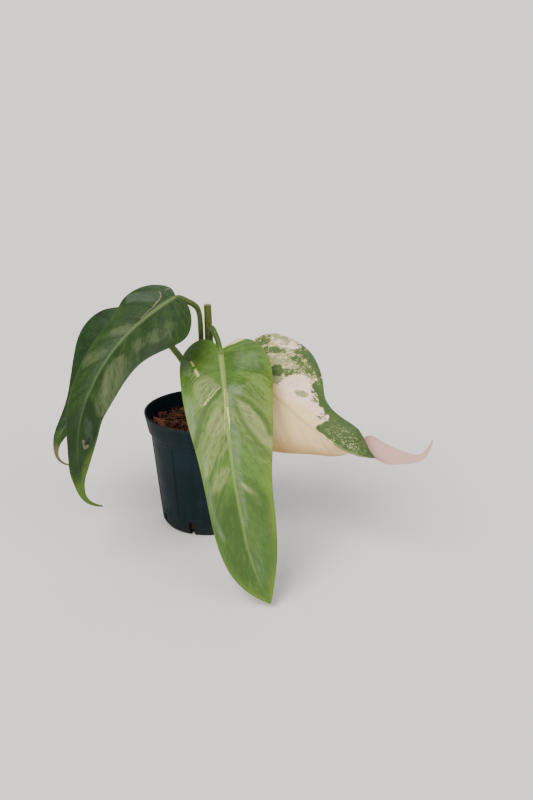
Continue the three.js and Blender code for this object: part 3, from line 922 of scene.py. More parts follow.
@dataclass
class Blade:
    """A leaf blade. The margin curve runs with q, the midrib lies at length q^2, and v goes across."""

    where: str
    slot: str
    bend: Bend
    finish: BladeFinish
    marks: Marks
    seed: int
    rows: int = 230
    columns: int = 52
    samples: int = 400
    row_crowding: float = 0.5
    column_crowding: float = 0.55
    curl_width: float = 36.0
    half_thickness: float = 0.27
    edge_width: float = 0.45
    rib_width: tuple[float, float] = (2.9, 0.9)
    rib_height: float = 0.16
    rib_depth: float = 1.0
    rib_taper: tuple[float, float] = (0.7, 0.85)
    vein_count: int = 10
    vein_sweep: float = 1.25
    vein_lean: float = 0.11
    vein_shift: float = 0.12
    lean_end: float = 0.72
    lean_fade: float = 0.27
    vein_width: float = 0.0052
    vein_sunk: float = 0.10
    vein_raised: float = 0.14
    swell: float = 0.22
    margin_wave: tuple[float, float] = (0.18, 34.0)
    face_wave: tuple[float, float] = (0.05, 9.0)

    def __post_init__(self) -> None:
        """Works out the midrib's even samples and their frames."""
        share = np.linspace(0, 1, self.samples)
        travelled = distance_along(spline(self.bend.spine, share)[:, :3])
        even = np.linspace(0, travelled[-1], self.samples)
        table = spline(self.bend.spine, np.interp(even, travelled, share))
        self.at = even - self.bend.lobe
        self.length = travelled[-1] - self.bend.lobe
        self.middle = table[:, :3]
        _, side, normal = carried_frames(self.middle, np.asarray(self.bend.up))
        roll = np.radians(table[:, 3])[:, None]
        self.side = side * np.cos(roll) + normal * np.sin(roll)
        self.normal = normal * np.cos(roll) - side * np.sin(roll)
        self.fold = np.radians(table[:, 4:6])
        self.curl = np.radians(table[:, 6:8]) / self.curl_width

    def look_up(self, table: Array, along: Array) -> Array:
        """Rows of a table kept along the midrib, at any distance from the sinus."""
        return np.stack([np.interp(along, self.at, column) for column in table.T], -1)

    def place(self, along: Array, out: Array) -> Array:
        """Bends flat leaf coordinates into space.

        Each half leaves the midrib at its fold and goes on turning by its curl, so its section is an
        arc: sideways (sin(f + c m) - sin f) / c and upward (cos f - cos(f + c m)) / c at m mm out.

        Args:
            along: Distance from the sinus along the midrib.
            out: Distance from the midrib, the right half positive.

        Returns:
            The points.
        """
        halves = [np.moveaxis(self.look_up(table, along), -1, 0) for table in (self.fold, self.curl)]
        fold, curl = (np.where(out >= 0, right, left) for left, right in halves)
        curl = np.where(np.abs(curl) < TINY, TINY, curl)
        reach = np.abs(out)
        sideways = np.sign(out) * (np.sin(fold + curl * reach) - np.sin(fold)) / curl
        upward = (np.cos(fold) - np.cos(fold + curl * reach)) / curl
        side, normal = self.look_up(self.side, along), self.look_up(self.normal, along)
        return self.look_up(self.middle, along) + sideways[..., None] * side + upward[..., None] * normal

    def grid(self) -> Grid:
        """The blade's points on rows by columns, closest together at the ends and edges.

        A margin point has its place from its margin curve at q, and the midrib's from length q^2.
        Between them the points go out evenly and forward by the power of the sweep.

        Returns:
            The grid.
        """
        even = np.linspace(0, 1, self.rows)
        q = even - self.row_crowding * np.sin(2 * np.pi * even) / (2 * np.pi)
        half = np.linspace(0, 1, self.columns + 1)
        half = half - self.column_crowding * np.sin(2 * np.pi * half) / (2 * np.pi)
        v = np.concatenate([-half[:0:-1], half])
        left, right = spline(self.bend.left, q), spline(self.bend.right, q)
        margin = np.where((v < 0)[None, :, None], left[:, None], right[:, None])
        share = np.abs(v)[None]
        root = (self.length * q * q)[:, None]
        along = root + (margin[..., 0] * self.length - root) * share ** self.vein_sweep
        out = np.sign(v)[None] * share * margin[..., 1]
        return Grid(np.broadcast_to(q[:, None], out.shape), np.broadcast_to(v[None], out.shape), along, out)

    def side_veins(self, q: Array, v: Array) -> tuple[Array, Array]:
        """The side veins, which lean towards the tip in the part near the stalk.

        The count of veins passed at a point is its course times their number, and those of the left
        half lie a little off those of the right.

        Args:
            q: From sinus to tip.
            v: From margin to margin.

        Returns:
            The coordinate that is constant along a vein, and a ridge of height 1 on each main vein.
        """
        across = np.abs(v)
        course = q - self.vein_lean * across * np.clip((self.lean_end - q) / self.lean_fade, 0, 1)
        count = course * self.vein_count + np.where(v < 0, self.vein_shift, 0)
        off = np.abs(count - np.round(count)) / self.vein_count
        reach = self.vein_width / np.clip(q, 0.28, 1)
        strength = smooth(across, 0, 0.04) * (1 - smooth(across, 0.78, 0.97)) * smooth(q, 0.12, 0.3)
        return course, bell(off, 0, reach) * strength

    def build(self, material: Material) -> Piece:
        """Makes the blade with its relief and its marks.

        The two faces lie a half thickness off the bent middle, less at the margin. The midrib stands
        out of both, the side veins are sunk above and raised below, and the tissue between them
        swells a little. A wave is a height and a wavelength.

        Args:
            material: The blade's material.

        Returns:
            The piece.
        """
        grid = self.grid()
        along, out, across = grid.along, grid.out, np.abs(grid.v)
        middle = self.place(along, out)
        normal = np.cross(np.gradient(middle, axis=1), np.gradient(middle, axis=0))
        normal /= np.linalg.norm(normal, axis=-1)[..., None]

        course, vein = self.side_veins(grid.q, grid.v)
        share = np.clip(along / self.length, 0, 1)
        rib_width = between(*self.rib_width, share ** 0.7)
        rib = np.clip(1 - (out / rib_width) ** 2, 0, 1) ** 1.5 * smooth(along, -2.5, 1)
        swell = np.abs(np.sin(np.pi * course * self.vein_count)) ** 1.3
        swell = swell * smooth(across, 0.03, 0.3) * (1 - smooth(across, 0.6, 1))
        flat = np.stack([along, out], -1)
        (face_height, face_length), (margin_height, margin_length) = self.face_wave, self.margin_wave
        lift = self.swell * swell + face_height * ripple(flat, face_length, self.seed + 1)
        lift += margin_height * across ** 2 * ripple(flat, margin_length, self.seed)
        half_width = np.where(across == 0, 10, np.abs(out) / np.where(across == 0, 1, across))
        rounding = np.clip((1 - across) * half_width / self.edge_width, 0, 1)
        half = self.half_thickness * np.sqrt(np.clip(1 - (1 - rounding) ** 2, 0.05, 1))
        top_rib, low_rib = (rib * (1 - taper * share) for taper in self.rib_taper)
        top = half + self.rib_height * top_rib - self.vein_sunk * vein
        below = half + self.rib_depth * low_rib + self.vein_raised * vein
        front, back = (middle + normal * off[..., None] for off in (lift + top, lift - below))
        skin = two_faced(front, back)

        values = {tint.value: np.zeros_like(out) for tint in Tint}
        for tint, marks in self.marks.items():
            values[tint.value] = np.maximum.reduce([mark.field(grid) for mark in marks])
        fade = (1 - share) ** self.finish.rib_fade * (0.45 + 0.55 * smooth(along, 0, 9))
        values |= {"vein": vein, "rib": np.clip(rib * 1.4, 0, 1) * fade}
        skin.values = {key: np.tile(value.ravel(), 2) for key, value in values.items()}
        skin.values["under"] = np.repeat([0.0, 1.0], out.size)
        maps = {"veins": np.stack([course, grid.v], -1), "flat": flat / MM_PER_DM}
        skin.maps = {key: np.tile(value.reshape(-1, 2), (2, 1)) for key, value in maps.items()}
        return skin.piece(f"blade_{self.where}", f"leaf_{self.where}", self.slot, material, crease=60)


@dataclass
class Stalk:
    """A leaf stalk: round, with a shallow channel, a broad foot on the stem and a joint at the blade."""

    where: str
    blade: Blade
    finish: StalkFinish
    course: Rows
    stout: float = 1.0
    foot_radius: float = 3.9
    radius: float = 2.7
    neck_radius: float = 2.1
    foot_share: float = 0.16
    joint: float = 0.16
    joint_place: tuple[float, float] = (0.9, 0.035)
    groove: float = 0.16
    seat_back: float = 0.45
    seat_ahead: float = 4.0
    under_blade: float = 1.2
    sides: int = 28
    rings: int = 150

    def build(self, material: Material) -> Piece:
        """Makes the stalk along its spline, which ends under the start of the midrib.

        Its last three points lie below the midrib's: a share of the lobe behind the sinus, at the
        sinus, and a little ahead of it.

        Args:
            material: The stalk's material.

        Returns:
            The piece.
        """
        seat = np.array([-self.seat_back * self.blade.bend.lobe, 0, self.seat_ahead])
        ends = self.blade.place(seat, np.zeros(3))
        ends[:, 2] -= self.under_blade
        share = np.linspace(0, 1, self.rings)
        path = spline(np.concatenate([np.asarray(self.course, float), ends]), share)
        _, third, side = carried_frames(path, np.array([1.0, 0, 0]))
        foot = np.clip(1 - share / self.foot_share, 0, 1)
        radius = between(self.radius, self.neck_radius, share) + (self.foot_radius - self.radius) * foot
        radius += self.joint * bell(share, *self.joint_place)
        channel = self.groove * np.clip(np.cos(2 * round_steps(self.sides)), 0, None)
        rings = tube_rings(path, self.stout * radius[:, None] * (1 - channel), side, -third)
        neck = 0.85 * smooth(share, 0.84, 0.99)
        skin = streaked_tube(rings, distance_along(path), dry=0.35 * foot ** 3, neck=neck)
        return skin.piece(f"stalk_{self.where}", f"petiole_{self.where}", "petiole", material)


# Stem, pot and mix


@dataclass
class MainStem:
    """The short main stem: leaf nodes with ring scars, and a flat cut top with a dry rim."""

    course: Rows = (
        (5, 3, 46), (5, 3, 62), (5, 2.5, 82), (4.8, 2, 105), (4.2, 1.5, 130), (3.5, 1, 160), (3, 0.5, 185.5),
    )
    foot_radius: float = 5.4
    top_radius: float = 3.0
    nodes: tuple[float, ...] = (92, 103, 115, 128)
    node_swell: float = 0.55
    node_length: float = 3.0
    scar_depth: float = 0.28
    scar_place: tuple[float, float] = (1.8, 0.35)
    scar_stain: tuple[float, float] = (1.4, 0.9)
    skin_relief: float = 0.09
    dry_heights: tuple[float, float] = (84, 112)
    cut_inset: tuple[float, ...] = (0.12, 0.4, 0.9, 1.9, 2.8)
    cut_sink: tuple[float, ...] = (0.0, -0.05, 0.25, 0.45, 0.5)
    cut_dry: tuple[float, ...] = (0.9, 0.95, 0.75, 0.7, 0.7)
    sides: int = 40
    rings: int = 300

    def build(self, material: Material) -> Piece:
        """Makes the stem, with its cut face drawn in over the last rings.

        Args:
            material: The stem's material.

        Returns:
            The piece.
        """
        cut = len(self.cut_inset)
        share = np.append(np.linspace(0, 1, self.rings), np.ones(cut))
        path = spline(self.course, share)
        radius = between(self.foot_radius, self.top_radius, share)
        scars = np.zeros_like(share)
        for height in self.nodes:
            gap = path[:, 2] - height
            radius += self.node_swell * bell(gap, 0, self.node_length)
            radius -= self.scar_depth * bell(gap, *self.scar_place)
            scars += bell(gap, *self.scar_stain)
        radius[-cut:] -= self.cut_inset
        path[-cut:, 2] -= self.cut_sink
        frames = carried_frames(path[:self.rings], np.array([1.0, 0, 0]))[1:]
        side, third = (np.append(rows, np.repeat(rows[-1:], cut, axis=0), axis=0) for rows in frames)
        turn = round_steps(self.sides)
        where = np.stack(np.broadcast_arrays(path[:, 2:3] / 6, np.cos(turn)[None], np.sin(turn)[None]), -1)
        rough = self.skin_relief * ripple(where, 1.6, 5)
        rough[-cut:] *= 0.4
        rings = tube_rings(path, radius[:, None] + rough, third, side)
        dry = 0.55 * (1 - smooth(path[:, 2], *self.dry_heights)) + 0.5 * np.clip(scars, 0, 1)
        dry[-cut:] = self.cut_dry
        return streaked_tube(rings, path[:, 2], dry=dry).piece("main_stem", "stem", "stem", material)


@dataclass
class NurseryPot:
    """A thin moulded pot: sunk wall panels, a rim band with a rolled lip, and slots through the foot."""

    height: float = 97.0
    foot_radius: float = 35.5
    foot_bevel: float = 4.0
    wall_foot_radius: float = 37.8
    wall_top_radius: float = 45.6
    band_height: float = 16.0
    band_low_radius: float = 47.2
    rim_radius: float = 50.5
    wall: float = 1.5
    floor: float = 2.2
    panels: int = 8
    panel_half_angle: float = 18.0
    panel_depth: float = 0.7
    panel_foot: float = 14.0
    panel_top: float = 77.0
    first_panel: float = -17.5
    slot_half_angle: float = 4.0
    slot_top: float = 12.0
    slot_inner_radius: float = 29.5
    underside: Rows = ((0, 0), (9, 0), (9.6, 0.25), (11, 0.25), (11.6, 0), (20, 0), (29.5, 0), (33, 0))
    bevel_heights: tuple[float, ...] = (2, 3.2, 4)
    wall_heights: tuple[float, ...] = (
        6, 8, 10, 12, 13.4, 14, 14.5, 15, 16, 20, 26, 32, 38, 44, 50, 56, 62, 68, 73, 75.6, 76, 76.5, 77, 78,
        80.6,
    )
    band_step: Rows = ((0, 0.15), (0.35, 1.3), (0.9, 1.75))
    band_heights: tuple[float, ...] = (83.5, 86, 89, 92, 95, 96.2)
    lip: Rows = ((0.3, 0.1, 0.1), (0.05, 0.35, 0.4))
    columns: int = 360

    def wall_radius(self, z: Array) -> Array:
        """Outside radius of the wall at a height, below the band."""
        share = (z - self.foot_bevel) / (self.height - self.band_height - self.foot_bevel)
        return between(self.wall_foot_radius, self.wall_top_radius, share)

    def band_radius(self, z: Array) -> Array:
        """Outside radius of the rim band at a height."""
        return between(self.band_low_radius, self.rim_radius, (z - self.height) / self.band_height + 1)

    def inner_radius(self, z: Array) -> Array:
        """Inside radius at a height: the outside less the wall, and below the band less the panels."""
        wall = self.wall_radius(np.maximum(z, self.foot_bevel)) - self.panel_depth
        return np.where(z > self.height - self.band_height, self.band_radius(z), wall) - self.wall

    def profile(self) -> Array:
        """The wall's section, from the middle of the floor to the top of the lip.

        Returns:
            Rows of outside radius and height, inside radius and height, and the panel's share.
        """
        band_foot = self.height - self.band_height
        inner_foot, inner_floor = self.foot_radius - self.wall, self.floor + 0.3
        rows: list[tuple[float, ...]] = [(*place, place[0], self.floor, 0) for place in self.underside]
        rows.append((self.foot_radius - 0.5, 0, inner_foot - 0.6, self.floor, 0))
        rows.append((self.foot_radius, 0.25, inner_foot, inner_floor, 0))
        for z in self.bevel_heights:
            share = z / self.foot_bevel
            outside = between(self.foot_radius, self.wall_foot_radius, share)
            rows.append((outside, z, inner_foot + 1.6 * share, inner_floor + 1.6 * share, 0))
        z = np.asarray(self.wall_heights)
        share = smooth(z, self.panel_foot - 0.1, self.panel_foot + 0.9)
        share *= 1 - smooth(z, self.panel_top - 0.9, self.panel_top + 0.1)
        rows += zip(self.wall_radius(z), z, self.inner_radius(z), z, share)
        for rise, out in self.band_step:
            z = band_foot + rise
            rows.append((self.wall_top_radius + out, z, float(self.inner_radius(z + 0.6)), z, 0))
        z = np.asarray(self.band_heights)
        rows += zip(self.band_radius(z), z, self.band_radius(z) - self.wall, z, np.zeros_like(z))
        for drop, out, inside in self.lip:
            z = self.height - drop
            rows.append((self.rim_radius - out, z, self.rim_radius - self.wall + inside, z, 0))
        return np.asarray(rows, float)

    def build(self, material: Material) -> Piece:
        """Makes the pot as one sheet with two faces, with the slots left out of both.

        Args:
            material: The pot's material.

        Returns:
            The piece.
        """
        profile = self.profile()
        outside, low, inside, high, share = (column[:, None] for column in profile.T)
        degrees = np.arange(self.columns) * 360 / self.columns
        pitch = 360 / self.panels
        within = np.abs((degrees + pitch / 2) % pitch - pitch / 2)
        panel = 1 - smooth(within, self.panel_half_angle - 1.1, self.panel_half_angle + 0.1)
        turn = np.radians(degrees + self.first_panel - 90)
        outside = outside - share * panel * self.panel_depth
        front, back = around(outside, turn, low), around(inside, turn, high)
        open_rows = (profile[1:, 1] <= self.slot_top) & (profile[:-1, 0] >= self.slot_inner_radius)
        near_slot = within < self.slot_half_angle
        keep = ~(open_rows[:, None] & (near_slot & np.roll(near_slot, -1)))
        skin = two_faced(front, back, keep, wrap=True, pole=True)
        values = {"low": 1 - smooth(low, 0, 30), "edge": bell(low, self.height - 0.5, 1.2)}
        skin.values = {key: np.tile(np.repeat(value, self.columns), 2) for key, value in values.items()}
        return skin.piece("nursery_pot", "pot", "pot", material, weld=True, crease=35)


@dataclass
class PottingMix:
    """Bark chips and coir threads over a body that fills the pot."""

    pot: NurseryPot
    top: float = 83.0
    edge_drop: float = 1.8
    crown_drop: float = 1.2
    wall_heights: tuple[float, ...] = (2.6, 4.8, 12, 30, 50, 70, 80, 81.6)
    clearance: float = 0.9
    stem_at: tuple[float, float] = (5.0, 2.5)
    stem_clear: float = 6.5
    chips: int = 430
    chip_length: tuple[float, float] = (3.2, 7.2)
    chip_width: tuple[float, float] = (0.42, 0.75)
    chip_height: tuple[float, float] = (0.22, 0.42)
    chip_scale: float = 0.78
    chip_from_wall: float = 2.0
    small_chips: tuple[float, float] = (0.25, 0.6)
    chip_tilt: float = 0.42
    chip_lift: tuple[float, float] = (-1.2, 2.6)
    chip_cells: int = 5
    chip_power: float = 5.0
    dents: Rows = ((9.0, 0.55), (3.5, 0.22))
    threads: int = 150
    thread_reach: float = 43
    thread_radius: tuple[float, float] = (0.22, 0.12)
    thread_half: tuple[float, float] = (3, 11)
    thread_bow: tuple[float, float] = (-2.5, 2.5)
    thread_lift: tuple[float, float] = (1.2, 4.2)
    thread_steps: int = 10
    thread_sides: int = 5
    columns: int = 96
    seed: int = 41

    def body(self) -> Skin:
        """The fill below the chips: a closed round block whose top is a rough dish.

        Returns:
            The skin.
        """
        heights = np.append(self.wall_heights, self.top - self.edge_drop)
        wall_rings = len(heights)
        radii = self.pot.inner_radius(heights) - self.clearance
        radii[0] = self.pot.foot_radius - self.pot.wall - self.clearance - 0.6
        inward = np.linspace(1, 0.02, 22)[1:]
        radii = np.append(radii, inward * radii[-1])[:, None]
        heights = np.append(heights, np.full(len(inward), self.top - self.crown_drop))[:, None]
        rings = around(radii, round_steps(self.columns), heights)
        rings[wall_rings:, :, 2] += 1.3 * ripple(rings[wall_rings:], 7, self.seed)
        skin = capped_tube(rings)
        skin.values = {"tint": np.full(len(skin.points), 0.12)}
        skin.maps = {"grain": skin.points[:, :2] / 4}
        return skin

    def keep_inside(self, points: Array) -> Array:
        """Draws points in from the pot's wall.

        Args:
            points: Any points, with x, y and z last.

        Returns:
            The points, none further out than the clearance lets it.
        """
        points = points.copy()
        reach = np.linalg.norm(points[..., :2], axis=-1)
        limit = self.pot.inner_radius(points[..., 2]) - self.clearance
        points[..., :2] *= np.minimum(1, limit / np.maximum(reach, TINY))[..., None]
        return points

    def block(self) -> tuple[Array, Array]:
        """A rounded cube: each point p of a cube's grid over (|x|^n + |y|^n + |z|^n)^(1/n).

        Returns:
            Its points and its four-cornered faces.
        """
        line = np.linspace(-1, 1, self.chip_cells + 1)
        index = np.arange(len(line) ** 2).reshape(len(line), len(line))
        quad = np.stack([index[:-1, :-1], index[1:, :-1], index[1:, 1:], index[:-1, 1:]], -1).reshape(-1, 4)
        first, second = (axis.ravel() for axis in np.meshgrid(line, line, indexing="ij"))
        whole = np.ones_like(first)
        sides = (
            (whole, first, second), (-whole, second, first), (second, whole, first),
            (first, -whole, second), (first, second, whole), (second, first, -whole),
        )
        cube = np.concatenate([np.stack(side, -1) for side in sides])
        size = (np.abs(cube) ** self.chip_power).sum(-1, keepdims=True) ** (1 / self.chip_power)
        return cube / size, np.concatenate([quad + side * len(first) for side in range(len(sides))])

    def chip_skin(self) -> Skin:
        """All the bark chips: rounded blocks in a spiral, each with its own size, dents, turn and tint.

        Returns:
            The skin.
        """
        draw = np.random.default_rng(self.seed)
        cube, quads = self.block()
        count = self.chips
        order = np.arange(count)
        edge = self.pot.inner_radius(np.array(self.top)) - self.clearance - self.chip_from_wall
        reach = edge * np.sqrt((order + 0.5) / count)
        turn = order * np.pi * (3 - np.sqrt(5)) + draw.uniform(-0.25, 0.25, count)
        places = around(reach, turn, np.zeros(count))
        small_share, small_size = self.small_chips
        length = draw.uniform(*self.chip_length, count)
        length *= np.where(draw.random(count) < small_share, small_size, 1)
        width, height = draw.uniform(*self.chip_width, count), draw.uniform(*self.chip_height, count)
        half = self.chip_scale * np.stack([length, length * width, length * height], -1)
        local = cube[None] * half[:, None]
        for k, (wavelength, depth) in enumerate(self.dents):
            shifted = local + order[:, None, None] * np.array([17.0, 31.0, 53.0])
            waves = [ripple(shifted, wavelength, self.seed + 3 * k + axis) for axis in range(3)]
            local = local + np.stack(waves, -1) * depth
        yaw = draw.uniform(0, 2 * np.pi, count)
        tilt, roll = draw.normal(0, self.chip_tilt, count), draw.normal(0, self.chip_tilt, count)
        points = turned(turned(turned(local, roll, 0), tilt, 1), yaw, 2)
        places[:, 2] = self.top + draw.uniform(*self.chip_lift, count)
        places[:, 2] += 1.2 * ripple(places[:, :2], 26, 9)
        points = self.keep_inside(points + places[:, None])
        clear = np.linalg.norm(places[:, :2] - self.stem_at, axis=1) > self.stem_clear
        points, local, tint = points[clear], local[clear], draw.random(count)[clear]
        faces = quads + (np.arange(len(points)) * len(cube))[:, None, None]
        skin = Skin(points.reshape(-1, 3), [faces.reshape(-1, 4)])
        skin.values = {"tint": np.repeat(tint, len(cube))}
        skin.maps = {"grain": (local[..., :2] / 3 + (tint * 90)[:, None, None]).reshape(-1, 2)}
        return skin

    def thread_skin(self) -> Skin:
        """Coir threads: thin arcs that lie over the chips, as five-sided tubes.

        Returns:
            The skin.
        """
        draw = np.random.default_rng(self.seed + 1)
        skins: list[Skin] = []
        steps = np.linspace(-1, 1, self.thread_steps)
        radius = np.tile(np.linspace(*self.thread_radius, self.thread_steps)[:, None], self.thread_sides)
        for _ in range(self.threads):
            reach, turn = self.thread_reach * math.sqrt(draw.random()), draw.uniform(0, 2 * np.pi)
            heading = draw.uniform(0, 2 * np.pi)
            bow, span = draw.uniform(*self.thread_bow), draw.uniform(*self.thread_half)
            ahead = np.array([math.cos(heading), math.sin(heading), 0])
            aside = np.array([-ahead[1], ahead[0], 0])
            centre = around(reach, turn, self.top + draw.uniform(*self.thread_lift))
            path = centre + span * steps[:, None] * ahead + bow * (steps[:, None] ** 2) * aside
            path[:, 2] += draw.uniform(-1.6, 1.6) * steps ** 2 + draw.uniform(-1, 1) * steps
            path = self.keep_inside(path)
            _, side, third = carried_frames(path, np.array([0.1, 0.2, 1.0]))
            skin = capped_tube(tube_rings(path, radius, third, side))
            skin.values = {"tint": np.full(len(skin.points), draw.uniform(0.5, 1.1))}
            skin.maps = {"grain": np.full((len(skin.points), 2), draw.random())}
            skins.append(skin)
        return reduce(Skin.joined, skins)

    def build(self, bark: Material, coir: Material) -> list[Piece]:
        """Makes the fill with its chips, and the threads.

        Args:
            bark: Material of the fill and the chips.
            coir: Material of the threads.

        Returns:
            The pieces.
        """
        fill, threads, node = self.body().joined(self.chip_skin()), self.thread_skin(), "potting_mix"
        return [
            fill.piece("bark_mix", node, node, bark, weld=True, crease=50),
            threads.piece("coir_threads", node, node, coir),
        ]


# Camera, floor and light


@dataclass
class Studio:
    """A pale floor, soft light and the camera at the photographed angle."""

    camera_at: Point = (0.0497, -0.8497, 0.4229)
    pitch: float = 20.5
    focal_length: float = 50.0
    sensor: float = 36.0
    floor_size: float = 80.0
    floor_colour: Colour = (0.80, 0.78, 0.76)
    floor_level: float = -0.0001
    room_colour: Colour = (0.95, 0.96, 1.0)
    room_light: float = 0.5

    def camera(self) -> None:
        """Sets the camera, whose sensor height spans the picture's 800 pixels."""
        lens = bpy.data.cameras.new("view")
        lens.lens = self.focal_length
        lens.sensor_fit = "VERTICAL"
        lens.sensor_height = self.sensor
        lens.clip_start, lens.clip_end = 0.01, 200
        view = linked("view", lens)
        view.location = self.camera_at
        view.rotation_euler = (math.radians(90 - self.pitch), 0, 0)
        bpy.context.scene.camera = view

    def floor(self) -> None:
        """Lays the floor, a plain pale sheet."""
        half = self.floor_size / 2
        mesh = bpy.data.meshes.new("floor")
        corners = ((-half, -half), (half, -half), (half, half), (-half, half))
        mesh.from_pydata([(x, y, self.floor_level) for x, y in corners], [], [(0, 1, 2, 3)])
        material = Sheet("pale_floor").done(self.floor_colour, 0.75, Specular_IOR_Level=0.2)
        mesh.materials.append(material)
        floor = linked("floor", mesh)

    def sun(self, name: str, towards: Point, angle: float, power: float, colour: Colour) -> None:
        """Hangs one broad distant light, which lights the floor evenly.

        Args:
            name: The light's name.
            towards: The direction from the object to the light.
            angle: How wide the light looks, in degrees.
            power: Its strength.
            colour: Its colour.
        """
        light = bpy.data.lights.new(name, "SUN")
        light.angle, light.energy, light.color = math.radians(angle), power, colour
        lamp = linked(name, light)
        lamp.rotation_euler = Vector(towards).to_track_quat("Z", "Y").to_euler()

    def lights(self) -> None:
        """Hangs the key, fill and rim lights, in a room that glows softly all round."""
        self.sun("key", (-0.55, -0.65, 1.0), angle=42, power=3.5, colour=(1.0, 0.98, 0.95))
        self.sun("fill", (0.9, -0.9, 0.8), angle=60, power=1.5, colour=(1.0, 0.97, 0.94))
        self.sun("rim", (0.2, 1.0, 0.9), angle=50, power=0.5, colour=(0.95, 0.98, 1.0))
        world = bpy.data.worlds.new("soft_room")
        world.use_nodes = True
        background = world.node_tree.nodes["Background"]
        background.inputs["Color"].default_value = (*self.room_colour, 1)
        background.inputs["Strength"].default_value = self.room_light
        bpy.context.scene.world = world

    def build(self) -> None:
        """Sets everything round the object."""
        self.camera()
        self.floor()
        self.lights()


# The four leaves


FRONT_BEND = Bend(
    lobe=20,
    up=(0, -0.6, 0.8),
    spine=(
        (11, -14, 168, 0, -14, -14, -30, -30), (14, -32, 160, 0, -8, -8, -26, -26),
        (18, -58, 138, 0, 4, 4, -18, -14), (20.5, -76, 112, 0, 6, 6, -14, -12),
        (25, -98, 83, 0, 6, 6, -10, -10), (31.5, -117, 54, 0, 6, 6, -6, -6),
        (38.5, -135, 27, 0, 6, 6, 0, 0), (47.5, -146, 12, 0, 4, 4, 0, 0), (52.5, -150, 4.5, 0, 0, 0, 0, 0),
    ),
    left=(
        (-0.01, 1.5), (-0.02, 6), (-0.07, 13), (-0.105, 33.25), (-0.08, 42), (0.07, 41), (0.235, 35.25),
        (0.39, 33.75), (0.545, 26.75), (0.73, 25), (0.865, 19), (0.95, 9), (0.985, 3.75), (1, 0.6),
    ),
    right=(
        (-0.01, 1.5), (-0.035, 2), (-0.085, 9.5), (-0.105, 23), (-0.05, 35), (0.1, 34), (0.28, 31.5),
        (0.43, 24.5), (0.58, 22.5), (0.74, 22.25), (0.865, 18.25), (0.945, 9.5), (0.985, 3), (1, 0.6),
    ),
)

LEFT_BEND = Bend(
    lobe=9,
    up=(-0.35, -0.62, 0.7),
    spine=(
        (-15, -9, 197.5, 0, -4, 4, -25, -25), (-22, -17, 196.5, 0, -2, 6, -22, -22),
        (-40, -29, 187, 0, 4, 8, -16, -16), (-65.5, -43, 166, 0, 6, 8, -16, -16),
        (-82.5, -57, 140, 0, 6, 6, -16, -16), (-93, -71, 112, 0, 8, 8, -14, -14),
        (-91.5, -84, 88, 0, 8, 8, -10, -10), (-90, -95, 68, 0, 8, 8, -6, -6),
        (-84, -99, 59, 0, 6, 6, 0, 0), (-72.5, -100, 58, 0, 0, 0, 0, 0),
    ),
    left=(
        (-0.01, 1.5), (-0.01, 5), (-0.02, 11), (0.04, 32.5), (0.115, 43), (0.22, 35.75), (0.32, 28.75),
        (0.51, 27.25), (0.6, 22.5), (0.71, 21.5), (0.83, 9.75), (0.88, 2), (1, 0.6),
    ),
    right=(
        (-0.01, 1.5), (-0.02, 6), (-0.055, 15), (-0.025, 30.75), (0.1, 36.25), (0.165, 32.25), (0.22, 22),
        (0.44, 21.5), (0.58, 16.75), (0.71, 9), (0.84, 9.75), (0.88, 3.5), (1, 0.6),
    ),
)

BACK_BEND = Bend(
    lobe=8,
    up=(-0.3, -0.65, 0.7),
    spine=(
        (-53, 23, 170, 0, 0, 6, -25, -25), (-61, 21, 169, 0, 0, 8, -22, -22),
        (-74, 20, 162, 0, 4, 10, -16, -16), (-84, 16, 147, 0, 6, 10, -16, -16),
        (-92, 9, 125, 0, 6, 10, -16, -16), (-101, 0, 103, 0, 8, 8, -14, -14),
        (-113, -9, 86, 0, 8, 6, -10, -10), (-124, -15, 72, 0, 8, 4, -6, -6),
        (-121, -19, 57, 0, 6, 2, 0, 0), (-110, -20, 56, 0, 0, 0, 0, 0),
    ),
    left=(
        (-0.01, 1.5), (-0.02, 5), (-0.045, 11), (-0.04, 20), (0.03, 28), (0.15, 31), (0.28, 26),
        (0.44, 20), (0.62, 13), (0.77, 7), (0.86, 3), (0.94, 1.5), (1, 0.6),
    ),
    right=(
        (-0.01, 1.5), (-0.01, 4), (-0.02, 7.5), (0, 12), (0.05, 16), (0.11, 24), (0.21, 30),
        (0.4, 23), (0.61, 13.5), (0.77, 8), (0.86, 2.5), (0.93, 1.2), (1, 0.6),
    ),
)

